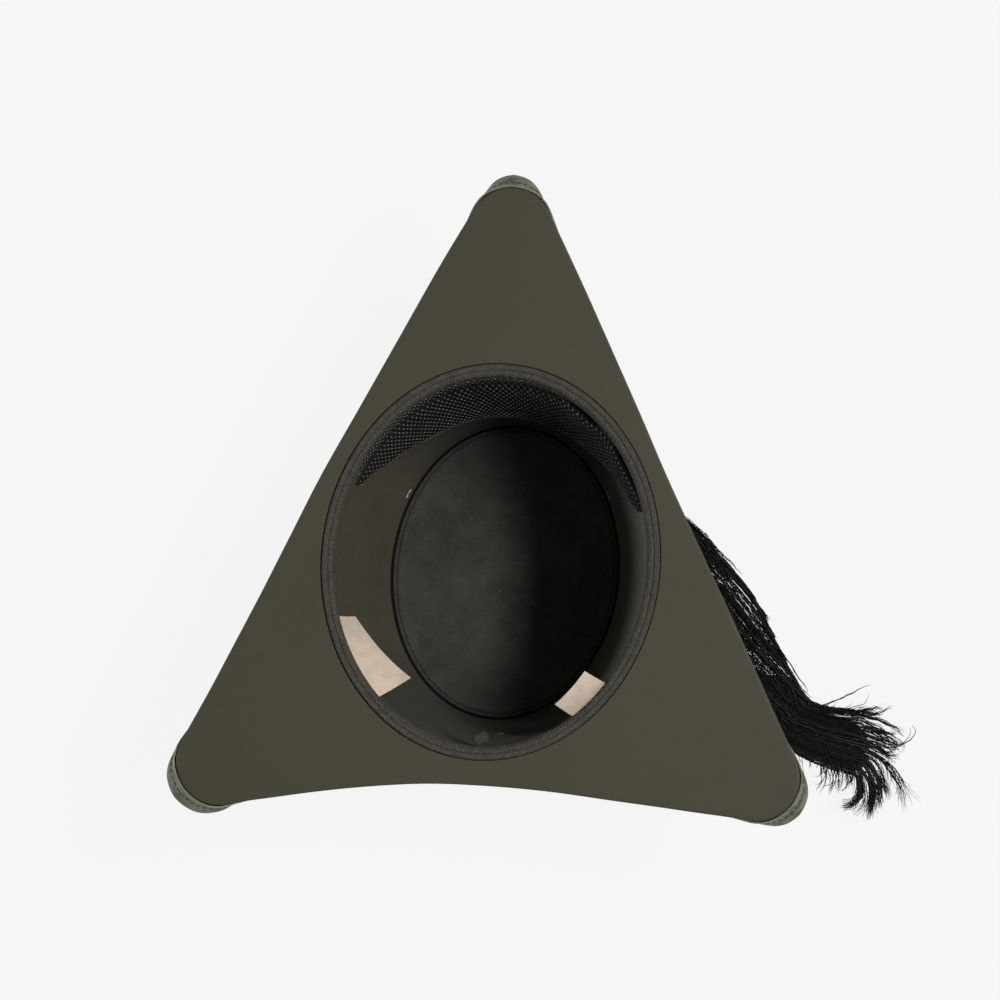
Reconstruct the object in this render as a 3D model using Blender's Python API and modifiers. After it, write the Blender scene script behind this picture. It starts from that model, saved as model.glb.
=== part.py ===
"""A leather tricorn hat, lying on the flat tip of its crown with its inside facing up.

The origin is the middle of the tip's outer face, on the surface that the hat lies on.
+Z points out of the head opening and +Y to the front point of the brim, so +X is the
wearer's left, where the plume is.
"""

import math

import bmesh
import bpy
from mathutils import Matrix, Vector

# Leather and fit
LEATHER = 0.002  # the crown's wall, its tip and the brim
GAP = 0.0003  # between pieces that touch

# Crown
CROWN_DEPTH = 0.115  # from the tip's outer face to the brim's underside
HEAD_WIDTH = 0.171  # clear width inside the rim of the sweatband
HEAD_LENGTH = 0.202
TIP_WIDTH = 0.1386
TIP_LENGTH = 0.1775
CROWN_TURN = math.radians(-4)  # the crown's oval sits a little turned on the brim
FLANGE_BEND = 0.003  # where the wall turns out under the brim
FLANGE_WIDTH = 0.006
TIP_ROUNDING = 0.001
CREASE = 0.002  # groove between the wall and the tip's seam band
SEAM_WIDTH = 0.005
SEAM_HEIGHT = 0.0008

# Air vents in the wall, each a ring of pinholes
VENT_HEIGHT = 0.0072
VENT_SPREAD = math.radians(59)  # either side of the brim's front point
VENT_RING = 0.004
PINHOLE = 0.0011
PINHOLES = 6

# Sweatband, with its rolled rim in the brim's opening
RIM_WIDTH = 0.0065
BAND_THICKNESS = 0.0012
BAND_DEPTH = 0.011

# Padded net across the forehead
PAD_HEIGHT = 0.057
PAD_THICKNESS = 0.009
PAD_SPREAD = math.radians(69)  # either side of the oval's front

# Brim: its fold line is three corner arcs joined by three long arcs
FRONT_BRIM = 0.0806  # from the clear opening to the corner arcs' centres
SIDE_BRIM = 0.0595
BACK_BRIM = 0.013
CORNER_RADIUS = 0.020
FOLD_RADIUS = 0.003  # of the underside where the flaps turn up
TUCK = math.radians(8)  # how far the flaps lean in beside the corners
SIDE_SHORT = 0.027  # how far the side flaps stop short of the tip's face
BACK_SHORT = 0.034

# Binding over the brim's free edge
BINDING_WIDTH = 0.0105  # in from the leather's edge
BINDING_THICKNESS = 0.0008
BINDING_GAP = 0.0006  # the strip bridges the leather's creases at the corners

# Labels and tab, sewn to the sweatband
LABEL_SEAM = 0.006  # below the brim's underside
TAB_SEAM = 0.0055
TAB_ANGLE = math.radians(271)
LABEL_THICKNESS = 0.0008
LABEL_LIFT = 0.75  # share of its lift that a label has at its seam
MAKER_LABEL_WIDTH = 0.021
SIZE_LABEL_WIDTH = 0.016
TAB_WIDTH = 0.0055
TAB_LENGTH = 0.010
TAB_THICKNESS = 0.0024
TAB_HEADING = (0.66, -0.60, 0.45)  # along the band, up and inwards

# Plume and the sleeve that holds its quill on the crown
SLEEVE_RADIUS = 0.0048
SLEEVE_BORE = 0.0031
SLEEVE_LENGTH = 0.018
SLEEVE_HEIGHT = 0.056  # of its middle
SLEEVE_ANGLE = math.radians(32)
PASSING_GAP = 0.0102  # between the plume and the edge of the flap that it passes under
PLUME_OUT = 0.160  # from the sleeve to the tail's end
PLUME_BACK = 0.148
PLUME_WIDTH = 0.040
PLUME_THICKNESS = 0.011
PLUME_RIBS = 12
RIB_DEPTH = 0.14  # of every second rib, as a share of the plume's section
LOCK_LENGTH = 0.029
LOCK_RADIUS = 0.0050
LOCK_TAPER = 0.85  # of a lock's radius that is lost by its tip
LOCK_CURLING = 1.5  # power by which a lock curls more towards its tip

# Facets
OVAL_POINTS = 56
WALL_LEVELS = (0.0, 0.08, 0.3, 0.62, 1.0)  # shares of the wall's height
FLANGE_TURNS = (35, 90)  # degrees
PIN_SIDES = 6
PAD_STEPS = 26
LABEL_STEPS = 6
LABEL_ROWS = (0, 0.33, 0.67, 1)  # shares of a label's width
TAB_SIDES = 10
CORNER_STEPS = 7  # half a corner arc
SIDE_STEPS = 16
SIDE_CROWDING = 0.75  # how much the steps of a side crowd towards its corners
FOLD_STEPS = 3
FLAP_STEPS = 3
TANGENT_STEP = 0.0004
SLEEVE_SIDES = 12
LOCK_STEPS = 6
LOCK_SIDES = 6

UP = Vector((0, 0, 1))

# The crown's wall from the tip up: how much of the spread to the opening is reached.
CROWN_WALL = (
    # rise, spread
    (0.00, 0.00),
    (0.10, 0.15),
    (0.45, 0.50),
    (1.00, 1.00),
)

# Corner arcs: place as shares of the reaches, turn of the brim's lip in degrees.
CORNERS = {
    # name: across, along, lip_turn
    "front": (0.032, 1.00, 43),
    "right_back": (-0.989, -0.996, 43),
    "left_back": (1.0055, -0.971, 53),
}

# Sides, each from one corner to the next: bow as a share of the straight, lean past upright
# in degrees, how far they stop short of the tip and how slowly they turn up at each end.
SIDES = {
    # name: start, end, bow, lean, short, start_ease, end_ease
    "right": ("front", "right_back", 0.0063, 4, SIDE_SHORT, 0.9, 1.2),
    "back": ("right_back", "left_back", -0.0572, 4, BACK_SHORT, 1.5, 1.1),
    "left": ("left_back", "front", 0.0027, 4, SIDE_SHORT, 1.1, 0.9),
}

# How far each side's fold line strays out from its arc, as shares of its length.
BENDS = (
    # way, right, back, left
    (0.00, 0.0000, 0.0000, 0.0000),
    (0.12, 0.0020, 0.0032, -0.0015),
    (0.25, 0.0014, 0.0027, -0.0018),
    (0.37, 0.0018, 0.0020, -0.0033),
    (0.50, 0.0033, 0.0057, -0.0045),
    (0.62, 0.0000, 0.0096, -0.0022),
    (0.75, -0.0028, 0.0132, -0.0007),
    (0.87, -0.0030, 0.0100, 0.0005),
    (1.00, 0.0000, 0.0000, 0.0000),
)

# A flap from a corner's middle to its own middle: shares of its length, turn and tuck.
FLAP = (
    # way, length, turn, tuck
    (0.00, 0.00, 0.00, 0.00),
    (0.03, 0.00, 0.12, 0.10),
    (0.07, 0.01, 0.55, 0.50),
    (0.11, 0.03, 0.92, 0.92),
    (0.16, 0.08, 1.00, 1.00),
    (0.24, 0.20, 1.00, 1.00),
    (0.40, 0.48, 1.00, 0.60),
    (0.65, 0.83, 1.00, 0.00),
    (0.84, 0.96, 1.00, 0.00),
    (0.95, 0.996, 1.00, 0.00),
    (1.00, 1.00, 1.00, 0.00),
)

# The sweatband's rolled rim from its outer foot inwards, as shares of its sizes.
ROLLED_RIM = (
    # across, down
    (0.95, 1.00),
    (0.95, 0.40),
    (0.80, 0.08),
    (0.58, 0.05),
    (0.38, 0.30),
    (0.30, 0.62),
    (0.10, 0.55),
    (0.00, 1.00),
)

# The pad from one end to the other: shares of its height and thickness.
PAD = (
    # way, height, thickness
    (0.00, 0.12, 0.24),
    (0.03, 0.20, 0.40),
    (0.10, 0.46, 0.64),
    (0.25, 0.83, 0.92),
    (0.50, 1.00, 1.00),
    (0.75, 0.78, 0.90),
    (0.90, 0.40, 0.62),
    (0.97, 0.20, 0.40),
    (1.00, 0.12, 0.24),
)

# A section of the pad, round from its top: shares of its height and thickness.
PAD_SECTION = (
    # down, inwards
    (0.00, 0.20),
    (0.06, 0.72),
    (0.25, 1.00),
    (0.60, 0.94),
    (0.90, 0.62),
    (1.00, 0.15),
    (0.96, 0.00),
    (0.50, 0.00),
    (0.03, 0.00),
)

# Labels sewn along the rim: angles round the oval, lift off the wall at both ends.
LABELS = {
    # name: start, end, width, start_lift, end_lift
    "maker_label": (202, 232, MAKER_LABEL_WIDTH, 10, 65),
    "size_label": (308, 324, SIZE_LABEL_WIDTH, 50, 66),
}

# The plume from the sleeve to its tail: shares of its reaches and of its section.
# Height is 0 where it passes under the flap's edge and 1 at the sleeve's middle.
PLUME = (
    # out, back, height, width, thickness
    (0.00, 0.00, 0.42, 0.13, 0.46),
    (0.016, 0.01, 0.15, 0.14, 0.46),
    (0.06, 0.05, 0.03, 0.21, 0.50),
    (0.13, 0.11, 0.00, 0.34, 0.64),
    (0.21, 0.19, 0.00, 0.46, 0.80),
    (0.28, 0.30, 0.00, 0.58, 0.92),
    (0.35, 0.40, 0.00, 0.62, 1.00),
    (0.42, 0.54, 0.00, 0.63, 1.00),
    (0.48, 0.68, 0.01, 0.67, 1.00),
    (0.54, 0.80, 0.03, 0.69, 1.00),
    (0.60, 0.88, 0.05, 0.76, 1.00),
    (0.70, 0.93, 0.08, 0.87, 0.95),
    (0.80, 0.95, 0.11, 0.96, 0.85),
    (0.89, 0.97, 0.13, 0.84, 0.70),
    (0.96, 0.99, 0.14, 0.52, 0.50),
    (1.00, 1.00, 0.14, 0.20, 0.30),
)

# Locks of the tail: where each leaves the plume along and across it, its heading in
# degrees from the wearer's left, its curl, and shares of its length and thickness.
LOCKS = (
    # along, across, heading, curl, length, radius
    (0.80, 0.72, 12, 30, 0.90, 0.30),
    (0.84, 0.72, 0, 10, 0.66, 0.50),
    (0.94, 0.60, -15, -20, 0.50, 0.46),
    (0.97, 0.00, -8, 25, 0.42, 0.40),
    (0.96, -0.60, -55, -8, 0.90, 0.42),
    (0.93, -0.60, -60, -15, 0.62, 0.34),
    (0.91, -0.44, -45, -75, 1.05, 1.35),
    (0.895, -0.56, -32, -115, 1.08, 0.84),
    (0.85, -0.80, -75, -10, 0.50, 0.28),
    (0.825, -0.78, -75, -35, 0.62, 0.30),
    (0.80, -0.78, -70, -50, 0.60, 0.32),
    (0.76, -0.78, -95, -10, 0.40, 0.28),
)


def column(rows, share, place):
    """Reads one column of a table at a share between its rows, smoothly and in order."""
    xs = [row[0] for row in rows]
    ys = [row[place] for row in rows]
    share = min(max(share, xs[0]), xs[-1])
    i = max(k for k in range(len(xs) - 1) if xs[k] <= share)
    steep = [(ys[k + 1] - ys[k]) / (xs[k + 1] - xs[k]) for k in range(len(xs) - 1)]
    slopes = [steep[0]]
    for before, after in zip(steep, steep[1:]):
        rising = before * after > 0
        slopes.append(2 * before * after / (before + after) if rising else 0.0)
    slopes.append(steep[-1])
    width = xs[i + 1] - xs[i]
    u = (share - xs[i]) / width
    return (
        (1 + 2 * u) * (1 - u) ** 2 * ys[i]
        + u * (1 - u) ** 2 * width * slopes[i]
        + u * u * (3 - 2 * u) * ys[i + 1]
        + u * u * (u - 1) * width * slopes[i + 1]
    )


def collection(name):
    group = bpy.data.collections.new(name)
    bpy.context.scene.collection.children.link(group)
    return group


def material(name, colour, roughness):
    made = bpy.data.materials.new(name)
    made.use_nodes = True
    shader = made.node_tree.nodes["Principled BSDF"]
    shader.inputs["Base Color"].default_value = (*colour, 1)
    shader.inputs["Roughness"].default_value = roughness
    shader.inputs["Metallic"].default_value = 0.0
    return made


def finish(mesh, name, group, look, outward=True):
    """Makes a bmesh an object in a collection, shaded smooth but for its sharp edges."""
    if outward:
        bmesh.ops.recalc_face_normals(mesh, faces=mesh.faces)
    data = bpy.data.meshes.new(name)
    mesh.to_mesh(data)
    mesh.free()
    data.shade_smooth()
    data.set_sharp_from_angle(angle=math.radians(40))
    made = bpy.data.objects.new(name, data)
    group.objects.link(made)
    if look:
        made.data.materials.append(look)
    return made


def skin(rows, ring=False, capped=False, open_rows=False):
    """A mesh over rows of points: closed rows, or open ones as on a sheet.

    Rows that run anticlockwise and step outwards face up.
    """
    mesh = bmesh.new()
    made = [[mesh.verts.new(point) for point in row] for row in rows]
    for low, high in zip(made, made[1:] + made[:1] if ring else made[1:]):
        count = len(low) - 1 if open_rows else len(low)
        for i in range(count):
            j = (i + 1) % len(low)
            mesh.faces.new((low[i], high[i], high[j], low[j]))
    if capped:
        mesh.faces.new(list(reversed(made[0])))
        mesh.faces.new(made[-1])
    return mesh


def thicken(made, thickness, offset):
    """Gives an open surface a thickness: offset -1 lays it behind the surface, 0 both ways."""
    solid = made.modifiers.new("Thickness", "SOLIDIFY")
    solid.thickness = thickness
    solid.offset = offset
    solid.use_even_offset = True


def cut(made, cutters, operation="DIFFERENCE"):
    for cutter in cutters:
        boolean = made.modifiers.new(cutter.name, "BOOLEAN")
        boolean.operation = operation
        boolean.object = cutter
        cutter.hide_render = True
        cutter.display_type = "WIRE"


def tube(name, points, radii, sides, group):
    """A closed tube with flat ends, along points with a radius at each."""
    rows = []
    across = (points[1] - points[0]).orthogonal()
    for i, point in enumerate(points):
        ahead = (points[min(i + 1, len(points) - 1)] - points[max(i - 1, 0)]).normalized()
        across = (across - ahead * across.dot(ahead)).normalized()
        proud = ahead.cross(across)
        row = []
        for k in range(sides):
            turn = math.tau * k / sides
            row.append(point + radii[i] * (across * math.cos(turn) + proud * math.sin(turn)))
        rows.append(row)
    return finish(skin(rows, capped=True), name, group, None)


# The crown


WALL_FOOT = LEATHER + GAP
WALL_HEAD = CROWN_DEPTH - LEATHER - GAP - LEATHER / 2  # middle of the flange
WALL_INSIDE = BAND_THICKNESS + GAP + LEATHER / 2  # from the clear opening to the wall's middle


def wall_half(z, out=0.0):
    """Half width and half length of the wall's middle at height z, moved out."""
    spread = column(CROWN_WALL, (z - WALL_FOOT) / (WALL_HEAD - WALL_FOOT), 1)
    half = []
    for tip, head in ((TIP_WIDTH, HEAD_WIDTH), (TIP_LENGTH, HEAD_LENGTH)):
        foot = (tip - LEATHER) / 2
        half.append(foot + (head / 2 + WALL_INSIDE - foot) * spread + out)
    return half


def oval_point(half, z, angle):
    """A point of an oval of the crown, turned with it, at an angle from its right."""
    x = half[0] * math.cos(angle)
    y = half[1] * math.sin(angle)
    c, s = math.cos(CROWN_TURN), math.sin(CROWN_TURN)
    return Vector((c * x - s * y, s * x + c * y, z))


def oval(half, z):
    return [oval_point(half, z, math.tau * k / OVAL_POINTS) for k in range(OVAL_POINTS)]


def wall_out(angle, z):
    """Outward direction of the wall's oval at an angle, level."""
    half = wall_half(z)
    step = math.radians(1)
    along = oval_point(half, z, angle + step) - oval_point(half, z, angle - step)
    return along.cross(UP).normalized()


def crown_side(group, cutters, look):
    """The crown's tapered wall, with a hidden flange under the brim and two air vents."""
    bend_foot = WALL_HEAD - FLANGE_BEND
    rows = []
    for share in WALL_LEVELS:
        z = WALL_FOOT + (bend_foot - WALL_FOOT) * share
        rows.append(oval(wall_half(z), z))
    for turn in map(math.radians, FLANGE_TURNS):
        out = FLANGE_BEND * (1 - math.cos(turn))
        z = bend_foot + FLANGE_BEND * math.sin(turn)
        rows.append(oval(wall_half(bend_foot, out), z))
    rows.append(oval(wall_half(bend_foot, FLANGE_BEND + FLANGE_WIDTH), WALL_HEAD))
    made = finish(skin(rows), "crown_side", group, look, outward=False)
    thicken(made, LEATHER, 0)
    for name, side in (("left", -1), ("right", 1)):
        middle = math.pi / 2 - CROWN_TURN + side * VENT_SPREAD
        cut(made, [vent_pins(f"vent_pins_{name}", middle, cutters)])
    return made


def vent_pins(name, angle, group):
    """The pins that a ring of pinholes is cut with, as one mesh."""
    place = oval_point(wall_half(VENT_HEIGHT), VENT_HEIGHT, angle)
    out = wall_out(angle, VENT_HEIGHT)
    frame = Matrix.Translation(place) @ out.to_track_quat("Z", "Y").to_matrix().to_4x4()
    mesh = bmesh.new()
    for k in range(PINHOLES):
        turn = math.tau * k / PINHOLES
        spot = Matrix.Translation(
            (VENT_RING / 2 * math.cos(turn), VENT_RING / 2 * math.sin(turn), 0)
        )
        bmesh.ops.create_cone(
            mesh,
            cap_ends=True,
            segments=PIN_SIDES,
            radius1=PINHOLE / 2,
            radius2=PINHOLE / 2,
            depth=4 * LEATHER,
            matrix=frame @ spot,
        )
    return finish(mesh, name, group, None)


def crown_tip(group, look):
    """The flat tip, with its turned-in seam band inside the crease."""
    inside = LEATHER + CREASE
    top = LEATHER + SEAM_HEIGHT
    half = (TIP_WIDTH / 2, TIP_LENGTH / 2)
    rows = []
    for inwards, z in (
        (TIP_ROUNDING, 0),
        (0, TIP_ROUNDING),
        (0, LEATHER),
        (inside, LEATHER),
        (inside + SEAM_HEIGHT / 2, top),
        (inside + SEAM_WIDTH, top),
        (inside + SEAM_WIDTH + SEAM_HEIGHT / 2, LEATHER),
    ):
        rows.append(oval((half[0] - inwards, half[1] - inwards), z))
    return finish(skin(rows, capped=True), "crown_tip", group, look)


# The sweatband and what is sewn to it


def band_face(z, inwards=0.0):
    """Half sizes of the band's outer face against the wall at height z, moved in."""
    return wall_half(z, -LEATHER / 2 - GAP - inwards)


def sweatband(group, look):
    """A rolled rim in the brim's opening and a band that turns down the wall."""
    foot = CROWN_DEPTH - BAND_DEPTH
    clear = (HEAD_WIDTH / 2, HEAD_LENGTH / 2)
    rows = []
    for across, down in ROLLED_RIM:
        out = across * RIM_WIDTH
        z = CROWN_DEPTH - GAP - down * (LEATHER - GAP)
        rows.append(oval((clear[0] + out, clear[1] + out), z))
    rows.append(oval(band_face(foot, BAND_THICKNESS), foot))
    rows.append(oval(band_face(foot), foot))
    shoulder = WALL_HEAD - FLANGE_BEND
    rows.append(oval(band_face(shoulder), shoulder))
    rows.append(oval([half + BAND_THICKNESS for half in clear], CROWN_DEPTH - LEATHER))
    return finish(skin(rows, ring=True), "sweatband", group, look)


def forehead_mesh(group, look):
    """The padded net: a crescent against the front of the wall, under the band."""
    top = CROWN_DEPTH - BAND_DEPTH - GAP
    rows = []
    for k in range(PAD_STEPS + 1):
        way = 0.5 - 0.5 * math.cos(math.pi * k / PAD_STEPS)
        angle = math.pi / 2 + PAD_SPREAD * (1 - 2 * way)
        height = PAD_HEIGHT * column(PAD, way, 1)
        thickness = PAD_THICKNESS * column(PAD, way, 2)
        row = []
        for down, inwards in PAD_SECTION:
            z = top - down * height
            row.append(oval_point(band_face(z, inwards * thickness), z, angle))
        rows.append(row)
    return finish(skin(rows, capped=True), "forehead_mesh", group, look)


def label(name, group, look):
    """A woven label sewn along the band and loose at its far edge."""
    start, end, width, start_lift, end_lift = LABELS[name]
    seam = CROWN_DEPTH - LABEL_SEAM
    rows = []
    for k in range(LABEL_STEPS + 1):
        share = k / LABEL_STEPS
        angle = math.radians(start + (end - start) * share)
        lift = math.radians(start_lift + (end_lift - start_lift) * share)
        sewn = oval_point(band_face(seam, BAND_THICKNESS + GAP), seam, angle)
        inward = -wall_out(angle, seam)
        row = []
        for far in LABEL_ROWS:
            bend = lift * (LABEL_LIFT + (1 - LABEL_LIFT) * far)
            row.append(sewn + width * far * (inward * math.sin(bend) - UP * math.cos(bend)))
        rows.append(row)
    made = finish(skin(rows, open_rows=True), name, group, look, outward=False)
    thicken(made, LABEL_THICKNESS, 1)
    return made


def sweatband_tab(group, look):
    """The folded end of the band's cord at the back, leaning to one side."""
    angle = TAB_ANGLE
    seam = CROWN_DEPTH - TAB_SEAM
    inward = -wall_out(angle, seam)
    along = inward.cross(UP)
    heading = (
        along * TAB_HEADING[0] + UP * TAB_HEADING[1] + inward * TAB_HEADING[2]
    ).normalized()
    across = heading.cross(UP).normalized()
    proud = across.cross(heading)
    reach = TAB_WIDTH / 2 * abs(across.dot(inward)) + TAB_THICKNESS / 2 * abs(proud.dot(inward))
    root = oval_point(band_face(seam, BAND_THICKNESS + GAP + reach), seam, angle)
    rows = []
    for share in (0, 0.5, 1):
        middle = root + heading * TAB_LENGTH * share
        row = []
        for k in range(TAB_SIDES):
            turn = math.tau * k / TAB_SIDES
            row.append(
                middle
                + across * TAB_WIDTH / 2 * math.cos(turn)
                + proud * TAB_THICKNESS / 2 * math.sin(turn)
            )
        rows.append(row)
    return finish(skin(rows, capped=True), "sweatband_tab", group, look)


# The brim's fold line


def corner_centre(name):
    across, along, _ = CORNERS[name]
    reach = HEAD_LENGTH / 2 + (FRONT_BRIM if along > 0 else BACK_BRIM)
    return Vector((across * (HEAD_WIDTH / 2 + SIDE_BRIM), along * reach))


def side_arc(name):
    """Centre and signed radius of the arc that touches two corner arcs, + if it bows out."""
    start, end, bow_share = SIDES[name][:3]
    a, b = corner_centre(start), corner_centre(end)
    chord = (b - a).length
    bow = bow_share * chord
    radius = chord**2 / (8 * abs(bow)) + abs(bow) / 2
    reach = radius - math.copysign(CORNER_RADIUS, bow)
    along = (b - a) / chord
    inward = Vector((-along.y, along.x))
    height = math.sqrt(reach**2 - chord**2 / 4)
    centre = (a + b) / 2 + inward * math.copysign(height, bow)
    return centre, math.copysign(radius, bow)


def touch(corner, side):
    """Direction from a corner arc's centre to where a side's arc touches it."""
    centre, radius = side_arc(side)
    return (corner_centre(corner) - centre).normalized() * math.copysign(1, radius)


def span_pieces(name):
    """Half a corner arc, a side and half a corner arc, as centre, radius, angles, length."""
    start, end = SIDES[name][:2]
    centre, radius = side_arc(name)
    pieces = []
    for corner, first in ((start, True), (end, False)):
        here = corner_centre(corner)
        out = touch(corner, name)
        other = next(s for s in SIDES if s != name and corner in SIDES[s][:2])
        middle = (out + touch(corner, other)).normalized()
        ends = (middle, out) if first else (out, middle)
        angles = [math.atan2(d.y, d.x) for d in ends]
        turn = (angles[1] - angles[0]) % math.tau
        pieces.append((here, CORNER_RADIUS, angles[0], turn))
    sign = math.copysign(1, radius)
    ends = [math.atan2(*reversed(touch(c, name) * sign)) for c in (start, end)]
    turn = (ends[1] - ends[0] + math.pi) % math.tau - math.pi
    pieces.insert(1, (centre, abs(radius), ends[0], turn))
    return [piece + (piece[1] * abs(piece[3]),) for piece in pieces]


def fold_line(side, share):
    """Point and outward direction of the fold line at a share of a side's span."""
    pieces = span_pieces(side)
    along = share * sum(piece[4] for piece in pieces)
    for place, (centre, radius, angle, turn, length) in zip(("start", "side", "end"), pieces):
        if along <= length or place == "end":
            way = min(along / length, 1)
            angle += turn * way
            spoke = Vector((math.cos(angle), math.sin(angle)))
            out = spoke * math.copysign(1, turn)
            stray = length * column(BENDS, way, 1 + list(SIDES).index(side))
            return centre + spoke * radius + out * (stray if place == "side" else 0), out
        along -= length


def stations():
    """Places round the whole fold line: each a side and a share of its span."""
    places = []
    for side in SIDES:
        lengths = [piece[4] for piece in span_pieces(side)]
        total = sum(lengths)
        places += [(side, lengths[0] / total * k / CORNER_STEPS) for k in range(CORNER_STEPS)]
        for k in range(SIDE_STEPS):
            even = k / SIDE_STEPS
            eased = 0.5 - 0.5 * math.cos(math.pi * even)
            place = even + (eased - even) * SIDE_CROWDING
            places.append((side, (lengths[0] + lengths[1] * place) / total))
        for k in range(CORNER_STEPS):
            places.append((side, (lengths[0] + lengths[1] + lengths[2] * k / CORNER_STEPS) / total))
    return places


def flap(side, share):
    """Turn of the brim past its fold and its length from there, at a share of a span."""
    start, end, _, lean, short, start_ease, end_ease = SIDES[side]
    corner, ease = (start, start_ease) if share < 0.5 else (end, end_ease)
    lip_turn = math.radians(CORNERS[corner][2])
    way = 1 - abs(1 - 2 * share)
    full_turn = math.radians(90 + lean)
    turn = lip_turn + (full_turn - lip_turn) * column(FLAP, way / ease, 2)
    turn += TUCK * column(FLAP, way / ease, 3)
    lip = BINDING_WIDTH + GAP + FOLD_RADIUS * lip_turn
    drop = CROWN_DEPTH - short - BINDING_THICKNESS - BINDING_GAP
    hang = drop - FOLD_RADIUS * (1 - math.cos(full_turn))
    full = FOLD_RADIUS * full_turn + hang / math.sin(full_turn)
    return turn, lip + (full - lip) * column(FLAP, way, 1)


def brim_point(side, share, out):
    """Point of the brim's underside at a distance out from its fold line."""
    base, spoke = fold_line(side, share)
    turn, _ = flap(side, share)
    angle = min(out / FOLD_RADIUS, turn)
    rest = max(out - FOLD_RADIUS * turn, 0)
    reach = FOLD_RADIUS * math.sin(angle) + rest * math.cos(angle)
    drop = FOLD_RADIUS * (1 - math.cos(angle)) + rest * math.sin(angle)
    return Vector((base.x + spoke.x * reach, base.y + spoke.y * reach, CROWN_DEPTH - drop))


def brim(group, look):
    """One sheet of leather: flat round the opening, turned up on three sides."""
    hole = (HEAD_WIDTH / 2 + RIM_WIDTH, HEAD_LENGTH / 2 + RIM_WIDTH)
    places = stations()
    columns = []
    for k, (side, share) in enumerate(places):
        turn, length = flap(side, share)
        column_points = [oval_point(hole, CROWN_DEPTH, math.pi / 2 + math.tau * k / len(places))]
        bend = FOLD_RADIUS * turn
        outs = [bend * k / FOLD_STEPS for k in range(FOLD_STEPS + 1)]
        outs += [bend + (length - bend) * k / FLAP_STEPS for k in range(1, FLAP_STEPS + 1)]
        column_points += [brim_point(side, share, out) for out in outs]
        columns.append(column_points)
    rows = [list(row) for row in zip(*columns)]
    made = finish(skin(rows), "brim", group, look, outward=False)
    thicken(made, LEATHER, -1)
    return made


def span_length(side):
    return sum(piece[4] for piece in span_pieces(side))


def along_edge(side, share, step):
    """The place a distance along the fold line from another, over a corner if need be."""
    names = list(SIDES)
    moved = share + step / span_length(side)
    if moved < 0:
        side = names[names.index(side) - 1]
        moved = 1 + moved
    elif moved > 1:
        side = names[(names.index(side) + 1) % len(names)]
        moved = moved - 1
    return side, moved


def brim_tangents(side, share, out):
    """How the brim's underside runs along the fold line and out from it."""
    step = TANGENT_STEP
    ahead, behind = along_edge(side, share, step), along_edge(side, share, -step)
    along = (brim_point(*ahead, out) - brim_point(*behind, out)) / (2 * step)
    outwards = (brim_point(side, share, out + step) - brim_point(side, share, out - step)) / (2 * step)
    slope = (flap(*ahead)[1] - flap(*behind)[1]) / (2 * step)
    return along, outwards, slope


def binding_row(side, share, section):
    """A section of the binding, square to the brim's edge and laid on its surface."""
    out = flap(side, share)[1]
    along, outwards, slope = brim_tangents(side, share, out)
    edge = (along + outwards * slope).normalized()
    normal = outwards.cross(along).normalized()
    inward = normal.cross(edge)
    spots = {0: (brim_point(side, share, out), normal)}
    here, steps = (side, share), 2
    for k in range(1, steps + 1):
        a, b = inward.dot(along), inward.dot(outwards)
        aa, ab, bb = along.dot(along), along.dot(outwards), outwards.dot(outwards)
        stride = BINDING_WIDTH / steps / (aa * bb - ab * ab)
        here = along_edge(*here, (a * bb - b * ab) * stride)
        out += (b * aa - a * ab) * stride
        along, outwards, _ = brim_tangents(*here, out)
        spots[k / steps] = (brim_point(*here, out), outwards.cross(along).normalized())
    row = []
    for share_in, past, off in section:
        point, facing = spots[share_in]
        row.append(point + facing * off - inward * past)
    return row


def binding(group, look):
    """A strip folded over the brim's free edge, with the same width all the way."""
    near = BINDING_GAP
    far = BINDING_GAP + BINDING_THICKNESS
    section = (
        # share of the width in from the edge, past the edge, off the underside
        (1, 0, near),
        (1, 0, far),
        (0.5, 0, far),
        (0, 0, far),
        (0, far, 0),
        (0, far, -LEATHER),
        (0, 0, -LEATHER - far),
        (0.5, 0, -LEATHER - far),
        (1, 0, -LEATHER - far),
        (1, 0, -LEATHER - near),
        (0.5, 0, -LEATHER - near),
        (0, near, -LEATHER - near),
        (0, near, near),
        (0.5, 0, near),
    )
    rows = [binding_row(side, share, section) for side, share in stations()]
    return finish(skin(rows, ring=True), "edge_binding", group, look)


# The plume


def sleeve_frame():
    """The sleeve's middle and the way its mouth faces, down along the wall."""
    at = [
        oval_point(wall_half(z, LEATHER / 2 + 2 * GAP + SLEEVE_RADIUS), z, SLEEVE_ANGLE)
        for z in (SLEEVE_HEIGHT + SLEEVE_LENGTH / 2, SLEEVE_HEIGHT - SLEEVE_LENGTH / 2)
    ]
    return (at[0] + at[1]) / 2, (at[1] - at[0]).normalized()


def plume_holder(group, cutters, look):
    """A plain sleeve on the crown's wall, closed at its top."""
    middle, mouth = sleeve_frame()
    half = mouth * SLEEVE_LENGTH / 2
    ends = [middle - half, middle + half]
    made = tube("plume_holder", ends, [SLEEVE_RADIUS] * 2, SLEEVE_SIDES, group)
    made.data.materials.append(look)
    floor = middle - half + mouth * LEATHER
    past = middle + 2 * half
    bore = tube("sleeve_bore", [floor, past], [SLEEVE_BORE] * 2, SLEEVE_SIDES, cutters)
    cut(made, [bore])
    return made


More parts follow.
